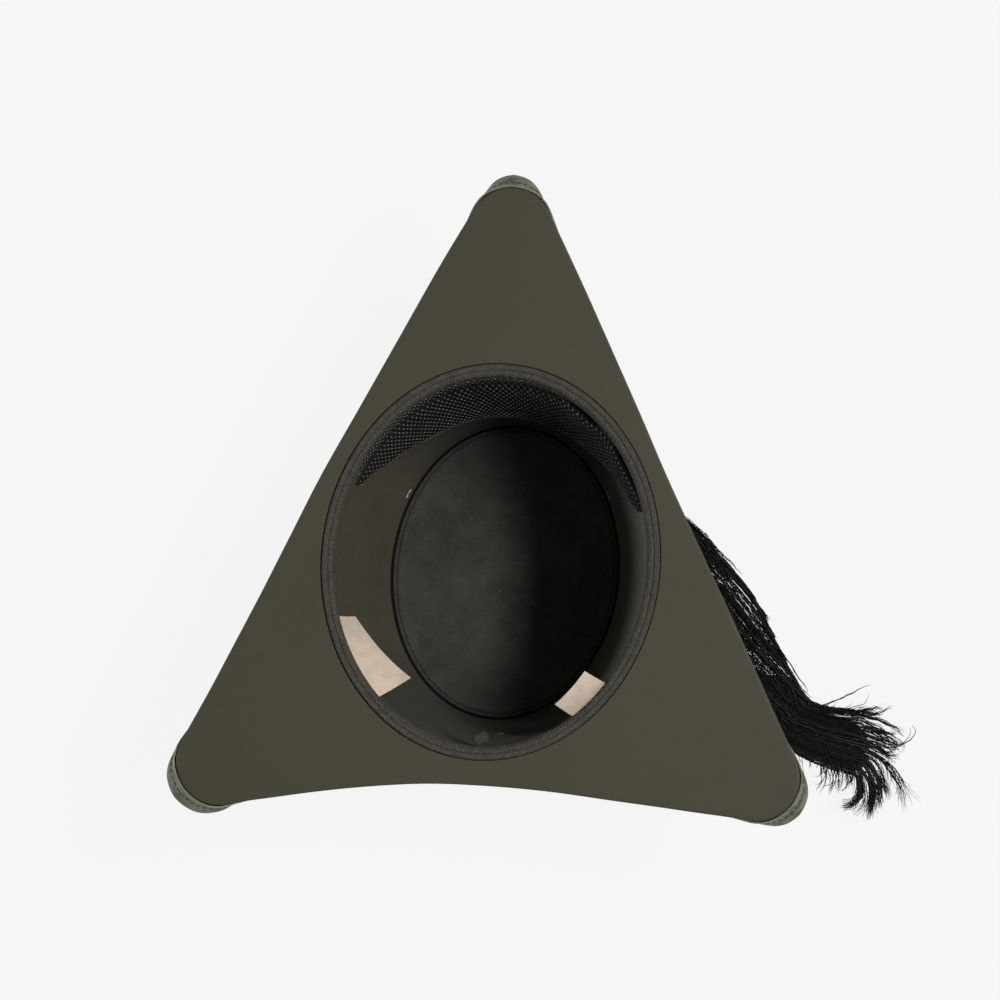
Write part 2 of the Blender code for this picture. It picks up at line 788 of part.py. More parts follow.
def plume_path():
    """Points and half sections of the plume, from inside the sleeve to its tail."""
    middle, mouth = sleeve_frame()
    quill = SLEEVE_BORE - GAP
    rows = [
        (middle - mouth * (SLEEVE_LENGTH / 2 - LEATHER - GAP), quill, quill),
        (middle + mouth * SLEEVE_LENGTH / 2, quill, quill),
        (middle + mouth * (SLEEVE_LENGTH / 2 + 2 * SLEEVE_BORE), quill, quill),
    ]
    passing = SIDE_SHORT - PASSING_GAP - PLUME_THICKNESS / 2
    for out, back, height, width, thickness in PLUME:
        z = passing + (middle.z - passing) * height
        point = Vector((middle.x + out * PLUME_OUT, middle.y - back * PLUME_BACK, z))
        rows.append((point, width * PLUME_WIDTH / 2, thickness * PLUME_THICKNESS / 2))
    return rows


def plume(group, cutters, look):
    """The quill and vane as one ribbed body, with the tail's locks fused to it."""
    path = plume_path()
    quill_rows = len(path) - len(PLUME) + 1
    rows = []
    level = None
    for i in reversed(range(len(path))):
        point, half_width, half_thick = path[i]
        ahead = path[min(i + 1, len(path) - 1)][0] - path[max(i - 1, 0)][0]
        flat = Vector((ahead.x, ahead.y, 0))
        if level is None or flat.length > 0.5 * ahead.length:
            level = flat.normalized()
        along = ahead.normalized()
        across = UP.cross(level)
        across = (across - along * across.dot(along)).normalized()
        proud = along.cross(across)
        row = []
        for k in range(PLUME_RIBS):
            turn = math.tau * k / PLUME_RIBS
            share = 1 if i < quill_rows or k % 2 else 1 - RIB_DEPTH
            spread = across * half_width * math.cos(turn) + proud * half_thick * math.sin(turn)
            row.append(point + spread * share)
        rows.append(row)
    made = finish(skin(rows, capped=True), "plume", group, look)
    locks = [lock(k, path, cutters) for k in range(len(LOCKS))]
    cut(made, locks, "UNION")
    return made


def plume_place(path, along, across):
    """A point in the plume at a share of its length and of its half width."""
    steps = [(b[0] - a[0]).length for a, b in zip(path, path[1:])]
    left = along * sum(steps)
    i = 0
    while left > steps[i] and i < len(steps) - 1:
        left -= steps[i]
        i += 1
    here, there = path[i], path[i + 1]
    share = left / steps[i]
    half_width = here[1] + (there[1] - here[1]) * share
    ahead = there[0] - here[0]
    side = UP.cross(Vector((ahead.x, ahead.y, 0)).normalized())
    return here[0].lerp(there[0], share) + side * across * half_width


def lock(number, path, group):
    """One tapered lock of the tail, curling as it goes."""
    along, across, heading, curl, length, radius = LOCKS[number]
    point = plume_place(path, along, across)
    points = [point]
    for k in range(LOCK_STEPS):
        turned = math.radians(heading + curl * (k / LOCK_STEPS) ** LOCK_CURLING)
        step = LOCK_LENGTH * length / LOCK_STEPS
        point = point + Vector((math.cos(turned), math.sin(turned), 0)) * step
        points.append(point)
    shares = [1 - LOCK_TAPER * (k / LOCK_STEPS) ** 2 for k in range(LOCK_STEPS + 1)]
    radii = [LOCK_RADIUS * radius * share for share in shares]
    return tube(f"lock_{number + 1}", points, radii, LOCK_SIDES, group)


def build():
    for old in list(bpy.data.objects):
        bpy.data.objects.remove(old, do_unlink=True)
    hat = collection("tricorn_hat")
    cutters = collection("cutters")
    leather = material("olive_leather", (0.069, 0.065, 0.045), 0.6)
    inside = material("suede_inside", (0.045, 0.042, 0.030), 0.85)
    trim = material("trim_leather", (0.060, 0.056, 0.046), 0.45)
    net = material("black_net", (0.012, 0.012, 0.011), 0.9)
    satin = material("beige_satin", (0.55, 0.42, 0.31), 0.5)
    feather = material("black_plume", (0.006, 0.005, 0.004), 0.6)
    crown_side(hat, cutters, inside)
    crown_tip(hat, inside)
    brim(hat, leather)
    binding(hat, trim)
    sweatband(hat, trim)
    sweatband_tab(hat, trim)
    forehead_mesh(hat, net)
    for name in LABELS:
        label(name, hat, satin)
    plume_holder(hat, cutters, trim)
    plume(hat, cutters, feather)


build()
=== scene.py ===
"""The looks of a leather tricorn hat that lies crown down with its inside facing up.

+Z points out of the head opening, +Y to the brim's front point and +X to the wearer's
left, where the plume is. Lengths are metres, as in the frame.
"""

import math

import bmesh
import bpy
import numpy as np
from mathutils import Matrix, Vector


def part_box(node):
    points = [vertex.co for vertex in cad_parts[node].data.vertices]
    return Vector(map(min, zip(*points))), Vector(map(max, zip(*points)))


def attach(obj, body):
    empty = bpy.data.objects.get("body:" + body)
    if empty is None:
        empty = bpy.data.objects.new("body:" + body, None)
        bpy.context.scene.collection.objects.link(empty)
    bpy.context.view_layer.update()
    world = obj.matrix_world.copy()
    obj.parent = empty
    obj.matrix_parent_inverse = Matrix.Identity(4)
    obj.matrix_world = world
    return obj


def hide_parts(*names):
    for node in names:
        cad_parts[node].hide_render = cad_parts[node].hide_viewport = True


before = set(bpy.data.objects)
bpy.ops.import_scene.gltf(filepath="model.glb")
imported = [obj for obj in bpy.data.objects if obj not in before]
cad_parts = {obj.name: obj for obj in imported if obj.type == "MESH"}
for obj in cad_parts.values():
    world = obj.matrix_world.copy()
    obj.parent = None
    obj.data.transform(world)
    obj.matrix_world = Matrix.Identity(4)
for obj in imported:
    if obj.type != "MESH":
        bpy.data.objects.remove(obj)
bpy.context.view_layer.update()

# Photograph and camera
PHOTO_SIZE = 1000
FOCAL_PIXELS = 2237.5
SENSOR = 36.0  # millimetres
CAMERA_PLACE = Vector((0.0984, -0.0687, 1.315))
NADIR_PIXEL = (669, 695)  # where the photograph's frame looks straight down
CAMERA_ROLL = math.radians(1.7)

# Leather and fit
LEATHER = 0.002
GAP = 0.0003

# Crown
CROWN_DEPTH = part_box("brim")[1].z
HEAD_WIDTH = 0.171
HEAD_LENGTH = 0.202
TIP_WIDTH = 0.1386
TIP_LENGTH = 0.1775
CROWN_TURN = math.radians(-4)
FLANGE_BEND = 0.003
FLANGE_WIDTH = 0.006
TIP_ROUNDING = 0.001
CREASE = 0.0011
CREASE_SHADE = 0.0012  # how far up the wall the crease's painted shade reaches
WELT_WIDTH = 0.0021
WELT_HEIGHT = 0.0007
SEAM_WIDTH = 0.003
SEAM_HEIGHT = 0.0005
TIP_FELT = ((0, 0), (0.004, 0), (0.012, 0.0002), (0.025, 0.0001), (0.040, 0))  # inwards, rise
VENT_HEIGHT = 0.0072
VENT_SPREAD = math.radians(59)
VENT_RING = 0.004
PINHOLE = 0.0011
PINHOLES = 6
PINHOLE_EDGE = 0.00034
TIP_STITCH = 0.0024  # from one stitch to the next
TIP_THREAD = 0.00022

# Sweatband
RIM_WIDTH = 0.0065
BAND_THICKNESS = 0.0012
BAND_DEPTH = 0.011
BAND_ROUNDING = 0.0002  # of its lower edge
RIM_THREAD = 0.00026

# Padded net
PAD_HEIGHT = 0.057
PAD_THICKNESS = 0.009
PAD_SPREAD = math.radians(69)
NET_ACROSS = 0.0032  # width of a cell
NET_DOWN = 0.0056  # height of a cell
NET_THREAD = 0.00022
NET_KNOT = 0.00052
NET_RISE = 0.0078  # how far the net reaches up over the band
PAD_LEAN = 0.0026  # how far the pad's top stands off the wall at its loose end
PAD_LEAN_DEPTH = 0.016

# Brim
FRONT_BRIM = 0.0806
SIDE_BRIM = 0.0595
BACK_BRIM = 0.013
CORNER_RADIUS = 0.020
FOLD_RADIUS = 0.003
FOLD_CREASE = 0.0013  # radius of the crease where the underside turns up
FOLD_LEVEL = FOLD_RADIUS - FOLD_CREASE  # how far the underside runs on before it
TUCK = math.radians(8)
SIDE_SHORT = 0.027
BACK_SHORT = 0.034
BINDING_WIDTH = 0.0105
BINDING_THICKNESS = 0.0008
BINDING_GAP = 0.0006
BINDING_SEWN = 0.62  # share of the width in from the edge
BINDING_STITCH = 0.0036  # from one stitch to the next
BINDING_THREAD = 0.00018

BINDING_FACET = 0.0045  # mean length of its facets along the edge
BINDING_SINK = 0.0001  # how deep its stitches lie
BINDING_DIP = 0.0003  # how far its stitches pull it in
BINDING_DIP_REACH = 0.12  # share of the width
BINDING_SWELL = 0.00025

# Labels and tab
LABEL_THICKNESS = 0.0005
LABEL_LIFT = 0.75
LABEL_FULL = 0.95  # how soon the label reaches its end's lift
TAB_SEAM = 0.0055
TAB_ANGLE = math.radians(271)
TAB_WIDTH = 0.0055
TAB_LENGTH = 0.010
TAB_THICKNESS = 0.0024
TAB_PINCH = 0.45  # how far its fold draws it in
TAB_HEADING = (0.66, -0.60, 0.45)
TACK_ANGLE = math.radians(278.3)
TACK_DEPTH = 0.064
TACK_LENGTH = 0.0038

# Plume
SLEEVE_RADIUS = 0.0048
SLEEVE_BORE = 0.0031
SLEEVE_LENGTH = 0.018
SLEEVE_HEIGHT = 0.056
SLEEVE_ANGLE = math.radians(32)
PASSING_GAP = 0.0102
PLUME_OUT = 0.160
PLUME_BACK = 0.148
PLUME_WIDTH = 0.040
PLUME_THICKNESS = 0.011
LOCK_LENGTH = 0.029
HAIR_RADIUS = 0.00016
SHAFT_ACROSS = -0.9
SHAFT_END = 0.62
KINK = 0.00034
DOWN_START = 0.64
DOWN_END = 0.915
DOWN_MIDDLE = -0.05
TUFT_APART = 0.40  # share of a lock's width between its tufts
TUFT_STRAY = 0.17
LOOSE_WEIGHT = 0.08  # lighter locks are hairs that lie on top
EARLY_SHARE = 0.22  # share of the strands that end early
WAIST = (0.465, 0.075, 0.42)  # where the plume is drawn in, over what length and how much
STRANDS = 1020
STRAND_PIECES = {"plume_strands": ["plume"], "plume_strands_2": (), "plume_strands_3": ()}

# Light and floor
KEY_LIGHT = {"towards": (0.080, 0.016, 0.112), "away": 5, "size": (0.85, 3.0), "strength": 2.87}
FILL_LIGHT = {"towards": (-1.0, -0.25, 0.30), "strength": 1.6, "angle": 25}
ROOM_LIT = 0.17
ROOM_SEEN = 0.91
FLOOR_GREY = (0.04, 0.04, 0.04)
FLOOR_GLOW = 0.884
FLOOR_REACH = 8
FLOOR_DROP = 0.0002

# Facets
OVAL_POINTS = 160
WALL_STEPS = 28
BEND_STEPS = 5
WELT_STEPS = 8
SEAM_STEPS = 10
BAND_STEPS = 8
PAD_STEPS = 96
PAD_ROWS = 20
NET_STEPS = 33
LABEL_STEPS = 24
LABEL_ROWS = 12
TAB_STEPS = 16
TAB_POINTS = 28
CORNER_STEPS = 16
SIDE_STEPS = 48
FOLD_STEPS = 8
FLAP_STEPS = 10
UNDERSIDE_STEPS = 6
BINDING_ROWS = 6  # from the brim's edge in to the binding's own edge
LINE_POINTS = 240
BODY_STEPS = 40
LOCK_STEPS = 18

UP = Vector((0, 0, 1))
SEED = 7

CROWN_WALL = (
    # rise, spread
    (0.00, 0.00),
    (0.10, 0.15),
    (0.45, 0.50),
    (1.00, 1.00),
)

# Painted shade and painted light round the wall's inside: darker where shade falls on it, lighter where
# more light reaches it.
WALL_PAINTED_LIGHT = (
    # degrees, painted shade, painted light
    (0, 0.1, 0.9),
    (30, 0.1, 0.9),
    (60, 0.8, 0.1),
    (95, 1.0, 0.0),
    (120, 0.5, 0.0),
    (150, 0.0, 0.0),
    (212, 0.0, 0.0),
    (236, 1.0, 0.0),
    (262, 0.8, 0.0),
    (290, 0.9, 0.0),
    (315, 0.2, 0.5),
    (335, 0.1, 0.8),
    (360, 0.1, 0.9),
)

CORNERS = {
    # name: across, along, lip_turn
    "front": (0.032, 1.00, 43),
    "right_back": (-0.989, -0.996, 43),
    "left_back": (1.0055, -0.971, 53),
}

SIDES = {
    # name: start, end, bow_share, lean, short, start_ease, end_ease
    "right": ("front", "right_back", 0.0063, 4, SIDE_SHORT, 0.9, 1.2),
    "back": ("right_back", "left_back", -0.0572, 4, BACK_SHORT, 1.5, 1.1),
    "left": ("left_back", "front", 0.0027, 4, SIDE_SHORT, 1.1, 0.9),
}

# How far each side's fold line strays out from its arc, as shares of its length.
BENDS = (
    # way, right, back, left
    (0.00, 0.0000, 0.0000, 0.0000),
    (0.12, 0.0020, 0.0032, -0.0015),
    (0.25, 0.0014, 0.0027, -0.0018),
    (0.37, 0.0018, 0.0020, -0.0033),
    (0.50, 0.0033, 0.0057, -0.0045),
    (0.62, 0.0000, 0.0096, -0.0022),
    (0.75, -0.0028, 0.0132, -0.0007),
    (0.87, -0.0030, 0.0100, 0.0005),
    (1.00, 0.0000, 0.0000, 0.0000),
)

FLAP = (
    # way, length, turn, tuck
    (0.00, 0.00, 0.00, 0.00),
    (0.03, 0.00, 0.12, 0.10),
    (0.07, 0.01, 0.55, 0.50),
    (0.11, 0.03, 0.92, 0.92),
    (0.16, 0.08, 1.00, 1.00),
    (0.24, 0.20, 1.00, 1.00),
    (0.40, 0.48, 1.00, 0.60),
    (0.65, 0.83, 1.00, 0.00),
    (0.84, 0.96, 1.00, 0.00),
    (0.95, 0.996, 1.00, 0.00),
    (1.00, 1.00, 1.00, 0.00),
)

# The sweatband's rim from its outer foot inwards: a bead, a groove and a sewn slope.
RIM = (
    # across, down
    (0.94, 1.00),
    (0.94, 0.52),
    (0.92, 0.26),
    (0.87, 0.08),
    (0.79, 0.00),
    (0.68, 0.00),
    (0.57, 0.05),
    (0.49, 0.16),
    (0.45, 0.40),
    (0.42, 0.62),
    (0.385, 0.62),
    (0.355, 0.44),
    (0.29, 0.38),
    (0.20, 0.46),
    (0.09, 0.66),
    (0.00, 1.00),
)

SEWN_SLOPE = slice(10, 25)  # from the rim's groove to the foot of the band

RIM_STITCHES = (
    # run, spacing, length, slant, scatter
    (0.0008, 0.0024, 0.0013, 12, 0.0002),
    (0.0021, 0.0019, 0.0010, 65, 0.0005),
    (0.0036, 0.0021, 0.0010, 40, 0.0007),
)

PAD = (
    # way, height, thickness
    (0.00, 0.12, 0.24),
    (0.03, 0.20, 0.40),
    (0.10, 0.46, 0.64),
    (0.25, 0.83, 0.92),
    (0.50, 1.00, 1.00),
    (0.75, 0.78, 0.90),
    (0.90, 0.40, 0.62),
    (0.97, 0.20, 0.40),
    (1.00, 0.12, 0.24),
)

# The pad's inner face from its top edge to its lower edge.
PAD_FACE = (
    # down, inwards
    (0.00, 0.20),
    (0.08, 0.42),
    (0.30, 0.66),
    (0.60, 0.90),
    (0.82, 1.00),
    (0.94, 0.80),
    (1.00, 0.15),
)

LOOSE_END = (
    # way, lean
    (0.00, 0.00),
    (0.62, 0.00),
    (0.72, 1.00),
    (0.80, 0.35),
    (0.88, 0.90),
    (0.96, 0.50),
    (1.00, 0.00),
)

NET_TOP = (
    # way, rise
    (0.00, 0.05),
    (0.06, 1.00),
    (0.63, 1.00),
    (0.68, 0.10),
    (0.76, 0.10),
    (0.80, 0.60),
    (0.84, 0.10),
    (1.00, 0.05),
)

LABELS = {
    # name: start, end, seam, width, start_lift, end_lift, start_skew, end_skew
    "maker_label": (202.4, 232, 0.0046, 0.0214, 15, 62, 0.04, 0.14),
    "size_label": (308.6, 324, 0.0053, 0.0148, 48, 62, -0.28, -0.12),
}

PLUME = (
    # out, back, height, width, thickness
    (0.00, 0.00, 0.42, 0.13, 0.46),
    (0.016, 0.01, 0.15, 0.14, 0.46),
    (0.06, 0.05, 0.03, 0.21, 0.50),
    (0.13, 0.11, 0.00, 0.34, 0.64),
    (0.21, 0.19, 0.00, 0.46, 0.80),
    (0.28, 0.30, 0.00, 0.58, 0.92),
    (0.35, 0.40, 0.00, 0.62, 1.00),
    (0.42, 0.54, 0.00, 0.63, 1.00),
    (0.48, 0.68, 0.01, 0.67, 1.00),
    (0.54, 0.80, 0.03, 0.69, 1.00),
    (0.60, 0.88, 0.05, 0.76, 1.00),
    (0.70, 0.93, 0.08, 0.87, 0.95),
    (0.80, 0.95, 0.11, 0.96, 0.85),
    (0.89, 0.97, 0.13, 0.84, 0.70),
    (0.96, 0.99, 0.14, 0.52, 0.50),
    (1.00, 1.00, 0.14, 0.20, 0.30),
)


def column(rows, share, place):
    """Reads one column of a table at a share between its rows, smoothly and in order."""
    xs = [row[0] for row in rows]
    ys = [row[place] for row in rows]
    share = min(max(share, xs[0]), xs[-1])
    i = max(k for k in range(len(xs) - 1) if xs[k] <= share)
    steep = [(ys[k + 1] - ys[k]) / (xs[k + 1] - xs[k]) for k in range(len(xs) - 1)]
    slopes = [steep[0]]
    for before, after in zip(steep, steep[1:]):
        rising = before * after > 0
        slopes.append(2 * before * after / (before + after) if rising else 0.0)
    slopes.append(steep[-1])
    width = xs[i + 1] - xs[i]
    u = (share - xs[i]) / width
    return (
        (1 + 2 * u) * (1 - u) ** 2 * ys[i]
        + u * (1 - u) ** 2 * width * slopes[i]
        + u * u * (3 - 2 * u) * ys[i + 1]
        + u * u * (u - 1) * width * slopes[i + 1]
    )


# Materials


class Look:
    """A material whose surface nodes are added one after another."""

    def __init__(self, name, colour, roughness, specular=0.5):
        self.colour = colour
        self.material = bpy.data.materials.new(name)
        self.material.use_nodes = True
        self.tree = self.material.node_tree
        self.shader = self.tree.nodes["Principled BSDF"]
        self.shader.inputs["Base Color"].default_value = (*colour, 1)
        self.shader.inputs["Roughness"].default_value = roughness
        self.shader.inputs["Specular IOR Level"].default_value = specular
        self.normal = None
        self.painted = None

    def node(self, kind, values=(), **settings):
        made = self.tree.nodes.new(kind)
        for key, value in settings.items():
            setattr(made, key, value)
        for key, value in values:
            if isinstance(value, bpy.types.NodeSocket):
                self.tree.links.new(value, made.inputs[key])
            else:
                made.inputs[key].default_value = value
        return made

    def place(self, kind="Object", stretch=(1, 1, 1)):
        """Coordinates in metres, stretched."""
        values = [("Vector", self.node("ShaderNodeTexCoord").outputs[kind]), ("Scale", stretch)]
        return self.node("ShaderNodeMapping", values).outputs["Vector"]

    def noise(self, size, detail=2.0, rough=0.5, kind="Object", stretch=(1, 1, 1)):
        """Soft noise whose patches are about a size in metres."""
        place = self.place(kind, stretch)
        values = [("Vector", place), ("Scale", 1 / size), ("Detail", detail), ("Roughness", rough)]
        return self.node("ShaderNodeTexNoise", values).outputs["Fac"]

    def cells(self, size):
        """The pebbles of a grain."""
        values = [("Vector", self.place()), ("Scale", 1 / size)]
        return self.node("ShaderNodeTexVoronoi", values).outputs["Distance"]

    def marked(self, name):
        """What a mesh's points are marked with."""
        return self.node("ShaderNodeAttribute", attribute_name=name).outputs["Fac"]

    def remap(self, source, low, high, to_low=0.0, to_high=1.0):
        values = [("Value", source), (1, low), (2, high), (3, to_low), (4, to_high)]
        return self.node("ShaderNodeMapRange", values).outputs["Result"]

    def patch(self, source, low, high, other, most=1.0):
        """Paints another colour over the surface where the source rises from low to high."""
        share = self.remap(source, low, high, 0.0, most)
        mix = self.node("ShaderNodeMix", [("Factor", share)], data_type="RGBA")
        first, second = [s for s in mix.inputs if s.type == "RGBA"]
        if self.painted is None:
            first.default_value = (*self.colour, 1)
        else:
            self.tree.links.new(self.painted, first)
        second.default_value = (*other, 1)
        self.painted = next(s for s in mix.outputs if s.type == "RGBA")
        self.tree.links.new(self.painted, self.shader.inputs["Base Color"])
        return self

    def bump(self, height, depth, strength=1.0):
        values = [("Height", height), ("Distance", depth), ("Strength", strength)]
        if self.normal is not None:
            values.append(("Normal", self.normal))
        self.normal = self.node("ShaderNodeBump", values).outputs["Normal"]
        self.tree.links.new(self.normal, self.shader.inputs["Normal"])
        return self

    def rough(self, source, low, high):
        self.tree.links.new(self.remap(source, 0.3, 0.7, low, high), self.shader.inputs["Roughness"])
        return self

    def sheen(self, weight, colour, roughness=0.4):
        self.shader.inputs["Sheen Weight"].default_value = weight
        self.shader.inputs["Sheen Tint"].default_value = (*colour, 1)
        self.shader.inputs["Sheen Roughness"].default_value = roughness
        return self


def smooth_leather():
    """The olive hide of the brim: even, close-grained and matt."""
    look = Look("olive_leather", (0.0528, 0.0497, 0.0310), 0.6, 0.25)
    look.patch(look.noise(0.09, 3), 0.35, 0.7, (0.0496, 0.0472, 0.0302))
    look.patch(look.noise(0.0022, 2), 0.55, 0.85, (0.060, 0.056, 0.038), 0.35)
    look.bump(look.cells(0.0009), 0.00006, 0.5)
    look.bump(look.noise(0.0003, 3), 0.00003, 0.6)
    return look.rough(look.noise(0.012, 3), 0.54, 0.68)


def creased(look):
    """Darkens a hide where its points are marked as lying in the crease: painted crease shade."""
    return look.patch(look.marked("crease"), 0.1, 0.8, (0.002, 0.002, 0.0016))


def wall_suede():
    """The hide's flesh side on the inside of the crown: a short nap with soft clouds."""
    look = Look("wall_suede", (0.060, 0.054, 0.035), 0.88, 0.2)
    look.patch(look.noise(0.03, 4, 0.6), 0.35, 0.7, (0.045, 0.041, 0.029))
    look.patch(look.noise(0.0012, 3), 0.5, 0.8, (0.080, 0.072, 0.052), 0.5)
    # Painted shade and painted light on the wall, marked by angle round the head.
    for name, colour in (("painted_wall_shade", (0.039, 0.039, 0.032)), ("painted_wall_light", (0.100, 0.105, 0.084))):
        look.patch(look.marked(name), 0, 1, colour)
    creased(look)
    look.bump(look.noise(0.0006, 4, 0.7), 0.00012, 0.7)
    return look.sheen(0.06, (0.8, 0.75, 0.6))


def tip_suede():
    """The tip's inside: a greyer nap, rubbed in clouds and specked with lint."""
    look = Look("tip_suede", (0.048, 0.047, 0.040), 0.9, 0.2)
    look.patch(look.noise(0.035, 5, 0.65), 0.40, 0.62, (0.032, 0.031, 0.025))
    look.patch(look.noise(0.006, 4, 0.7), 0.50, 0.72, (0.060, 0.058, 0.050), 0.5)
    look.patch(look.noise(0.0014, 3, 0.6), 0.62, 0.72, (0.095, 0.090, 0.078), 0.7)
    creased(look)
    look.bump(look.noise(0.0009, 4, 0.7), 0.00022, 0.9)
    look.bump(look.noise(0.012, 3), 0.0006, 0.6)
    return look.sheen(0.06, (0.75, 0.75, 0.7))


def binding_leather():
    """The polished strip on the brim's edge, creased and rubbed along its length."""
    look = Look("binding_leather", (0.126, 0.124, 0.090), 0.46, 0.35)
    streaks = look.noise(0.004, 4, 0.6, "UV", (0.16, 1, 1))
    look.patch(streaks, 0.42, 0.60, (0.052, 0.050, 0.036))
    look.patch(look.noise(0.0025, 3), 0.55, 0.8, (0.170, 0.168, 0.132), 0.8)
    look.patch(look.marked("rubbed"), 0.45, 1.0, (0.210, 0.205, 0.160), 0.8)
    look.bump(streaks, 0.0007, 0.9)
    look.bump(look.cells(0.0008), 0.00005, 0.5)
    return look.rough(streaks, 0.40, 0.58)


def rim_leather(name="rim_leather", shade=1):
    """The sweatband's soft nap, rubbed in specks."""
    colours = np.array([(0.046, 0.042, 0.033), (0.030, 0.027, 0.021), (0.085, 0.077, 0.063)])
    nap, worn, specks = colours * shade
    look = Look(name, nap, 0.72, 0.3)
    look.patch(look.noise(0.005, 4, 0.7), 0.42, 0.66, worn)
    look.patch(look.noise(0.0008, 3, 0.6), 0.50, 0.66, specks, 0.85)
    look.bump(look.noise(0.0045, 3), 0.0010, 0.8)
    look.bump(look.noise(0.0011, 4, 0.7), 0.0004, 1.0)
    look.bump(look.cells(0.0006), 0.00006, 0.5)
    return look.sheen(0.08, (0.8, 0.76, 0.7))


def mottled(name, colour, finish, patches, other, grain):
    """A plain look: one colour mottled with another, under a fine grain."""
    look = Look(name, colour, *finish)
    size, detail, low, high = patches
    look.patch(look.noise(size, detail), low, high, other)
    size, detail, depth, strength = grain
    return look.bump(look.noise(size, detail), depth, strength)


def thread(name, colour):
    darker = [c * 0.6 for c in colour]
    return mottled(name, colour, (0.6, 0.4), (0.0015, 2, 0.4, 0.7), darker, (0.0002, 2, 0.00004, 0.8))


def foam_cloth():
    """The dark cloth of the pad behind the net."""
    colours = [(0.0115, 0.0115, 0.0098), (0.013, 0.012, 0.011)]
    patches, grain = (0.002, 3, 0.4, 0.7), (0.0004, 3, 0.0001, 0.8)
    return mottled("foam_cloth", colours[0], (0.95, 0.1), patches, colours[1], grain)


def net_thread(name, colour, roughness):
    darker = [c * 0.55 for c in colour]
    patches, grain = (0.006, 3, 0.4, 0.65), (0.0002, 2, 0.00003, 0.6)
    return mottled(name, colour, (roughness, 0.5), patches, darker, grain)


def woven_satin():
    """The labels' ribbon: a close weave, a little dirty."""
    look = Look("woven_satin", (0.65, 0.530, 0.415), 0.5, 0.4)
    look.patch(look.noise(0.006, 4), 0.4, 0.75, (0.54, 0.43, 0.345))
    weft = look.noise(0.0004, 2, 0.5, "UV", (0.15, 1, 1))
    look.patch(weft, 0.45, 0.7, (0.70, 0.60, 0.48), 0.45)
    look.bump(weft, 0.00006, 0.8)
    return look.sheen(0.15, (1, 0.95, 0.85))


def raw_edge():
    """The pale fibres round a punched hole."""
    colours = [(0.62, 0.53, 0.36), (0.40, 0.33, 0.21)]
    patches, grain = (0.0005, 2, 0.4, 0.65), (0.0002, 2, 0.00004, 1.0)
    return mottled("raw_edge", colours[0], (0.8, 0.3), patches, colours[1], grain)


def feather():
    """Fine black strands, some of them brown where the light goes through."""
    look = Look("feather", (0.0032, 0.0028, 0.0022), 0.55, 0.25)
    look.patch(look.marked("tone"), 0.75, 1.0, (0.055, 0.044, 0.031))
    return look.bump(look.noise(0.0004, 2, 0.5), 0.00004, 0.5)


def horn():
    colours = [(0.020, 0.016, 0.012), (0.035, 0.027, 0.018)]
    patches, grain = (0.002, 2, 0.4, 0.7), (0.0006, 2, 0.00005, 1.0)
    return mottled("horn", colours[0], (0.35, 0.5), patches, colours[1], grain)


def floor_paint():
    """Pale, and bright by itself so that the shadows on it stay faint."""
    look = Look("floor_paint", FLOOR_GREY, 0.9, 0.0)
    look.patch(look.noise(0.4, 2), 0.3, 0.7, [c * 0.97 for c in FLOOR_GREY])
    look.shader.inputs["Emission Color"].default_value = (1, 1, 1, 1)
    look.shader.inputs["Emission Strength"].default_value = FLOOR_GLOW
    return look


# Meshes


def shares(count):
    """Even shares from 0 to 1."""
    return [k / count for k in range(count + 1)]


def circle(count, size=1.0):
    """Pairs of numbers that go round a circle."""
    turns = [math.tau * k / count for k in range(count)]
    return [(size * math.cos(turn), size * math.sin(turn)) for turn in turns]


def run_along(points):
    """How far along a line each of its points is."""
    steps = np.linalg.norm(np.diff(np.array(points, float), axis=0), axis=1)
    return np.concatenate(([0], np.cumsum(steps)))


def add(name, data):
    """A new object of the scene."""
    made = bpy.data.objects.new(name, data)
    bpy.context.scene.collection.objects.link(made)
    return made


def taken(mesh, name):
    """The data of a mesh that was built up, which is freed."""
    data = bpy.data.meshes.new(name)
    mesh.to_mesh(data)
    mesh.free()
    return data


def smooth(data, sharp):
    """Shades a mesh smooth, but for edges sharper than an angle in degrees."""
    data.shade_smooth()
    data.set_sharp_from_angle(angle=math.radians(sharp))


def dress(name, data, look, nodes=()):
    """Puts a piece on the hat's one body, with its material and the solids that it stands for."""
    made = add(name, data)
    data.materials.append(look.material)
    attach(made, "root")
    if nodes:
        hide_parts(*nodes)
    return made


def finish(mesh, name, look, slot, nodes=(), outward=True, sharp=50):
    """Makes a mesh that was built up a piece of the hat."""
    if outward:
        bmesh.ops.recalc_face_normals(mesh, faces=mesh.faces)
    data = taken(mesh, name)
    smooth(data, sharp)
    return dress(name, data, look, nodes)


def skin(rows, ring=False, capped=False, open_rows=False, lengths=None):
    """A mesh over rows of points: closed rows, or open ones as on a sheet.

    Rows that run anticlockwise and step outwards face up. With lengths, each face gets
    coordinates in metres along the rows' order and across a row.
    """
    mesh = bmesh.new()
    made = [[mesh.verts.new(point) for point in row] for row in rows]
    layer = mesh.loops.layers.uv.new("UVMap") if lengths else None
    pairs = list(zip(made, made[1:] + made[:1] if ring else made[1:]))
    for r, (low, high) in enumerate(pairs):
        count = len(low) - 1 if open_rows else len(low)
        for i in range(count):
            j = (i + 1) % len(low)
            face = mesh.faces.new((low[i], high[i], high[j], low[j]))
            if layer:
                spots = ((r, i), (r + 1, i), (r + 1, i + 1), (r, i + 1))
                for loop, (along, across) in zip(face.loops, spots):
                    loop[layer].uv = (along * lengths[0], across * lengths[1])
    if capped:
        mesh.faces.new(list(reversed(made[0])))
        mesh.faces.new(made[-1])
    return mesh


def thicken(made, thickness, offset):
    """Gives a sheet its thickness."""
    solid = made.modifiers.new("Thickness", "SOLIDIFY")
    solid.thickness = thickness
    solid.offset = offset
    solid.use_even_offset = True
    flatten(made)


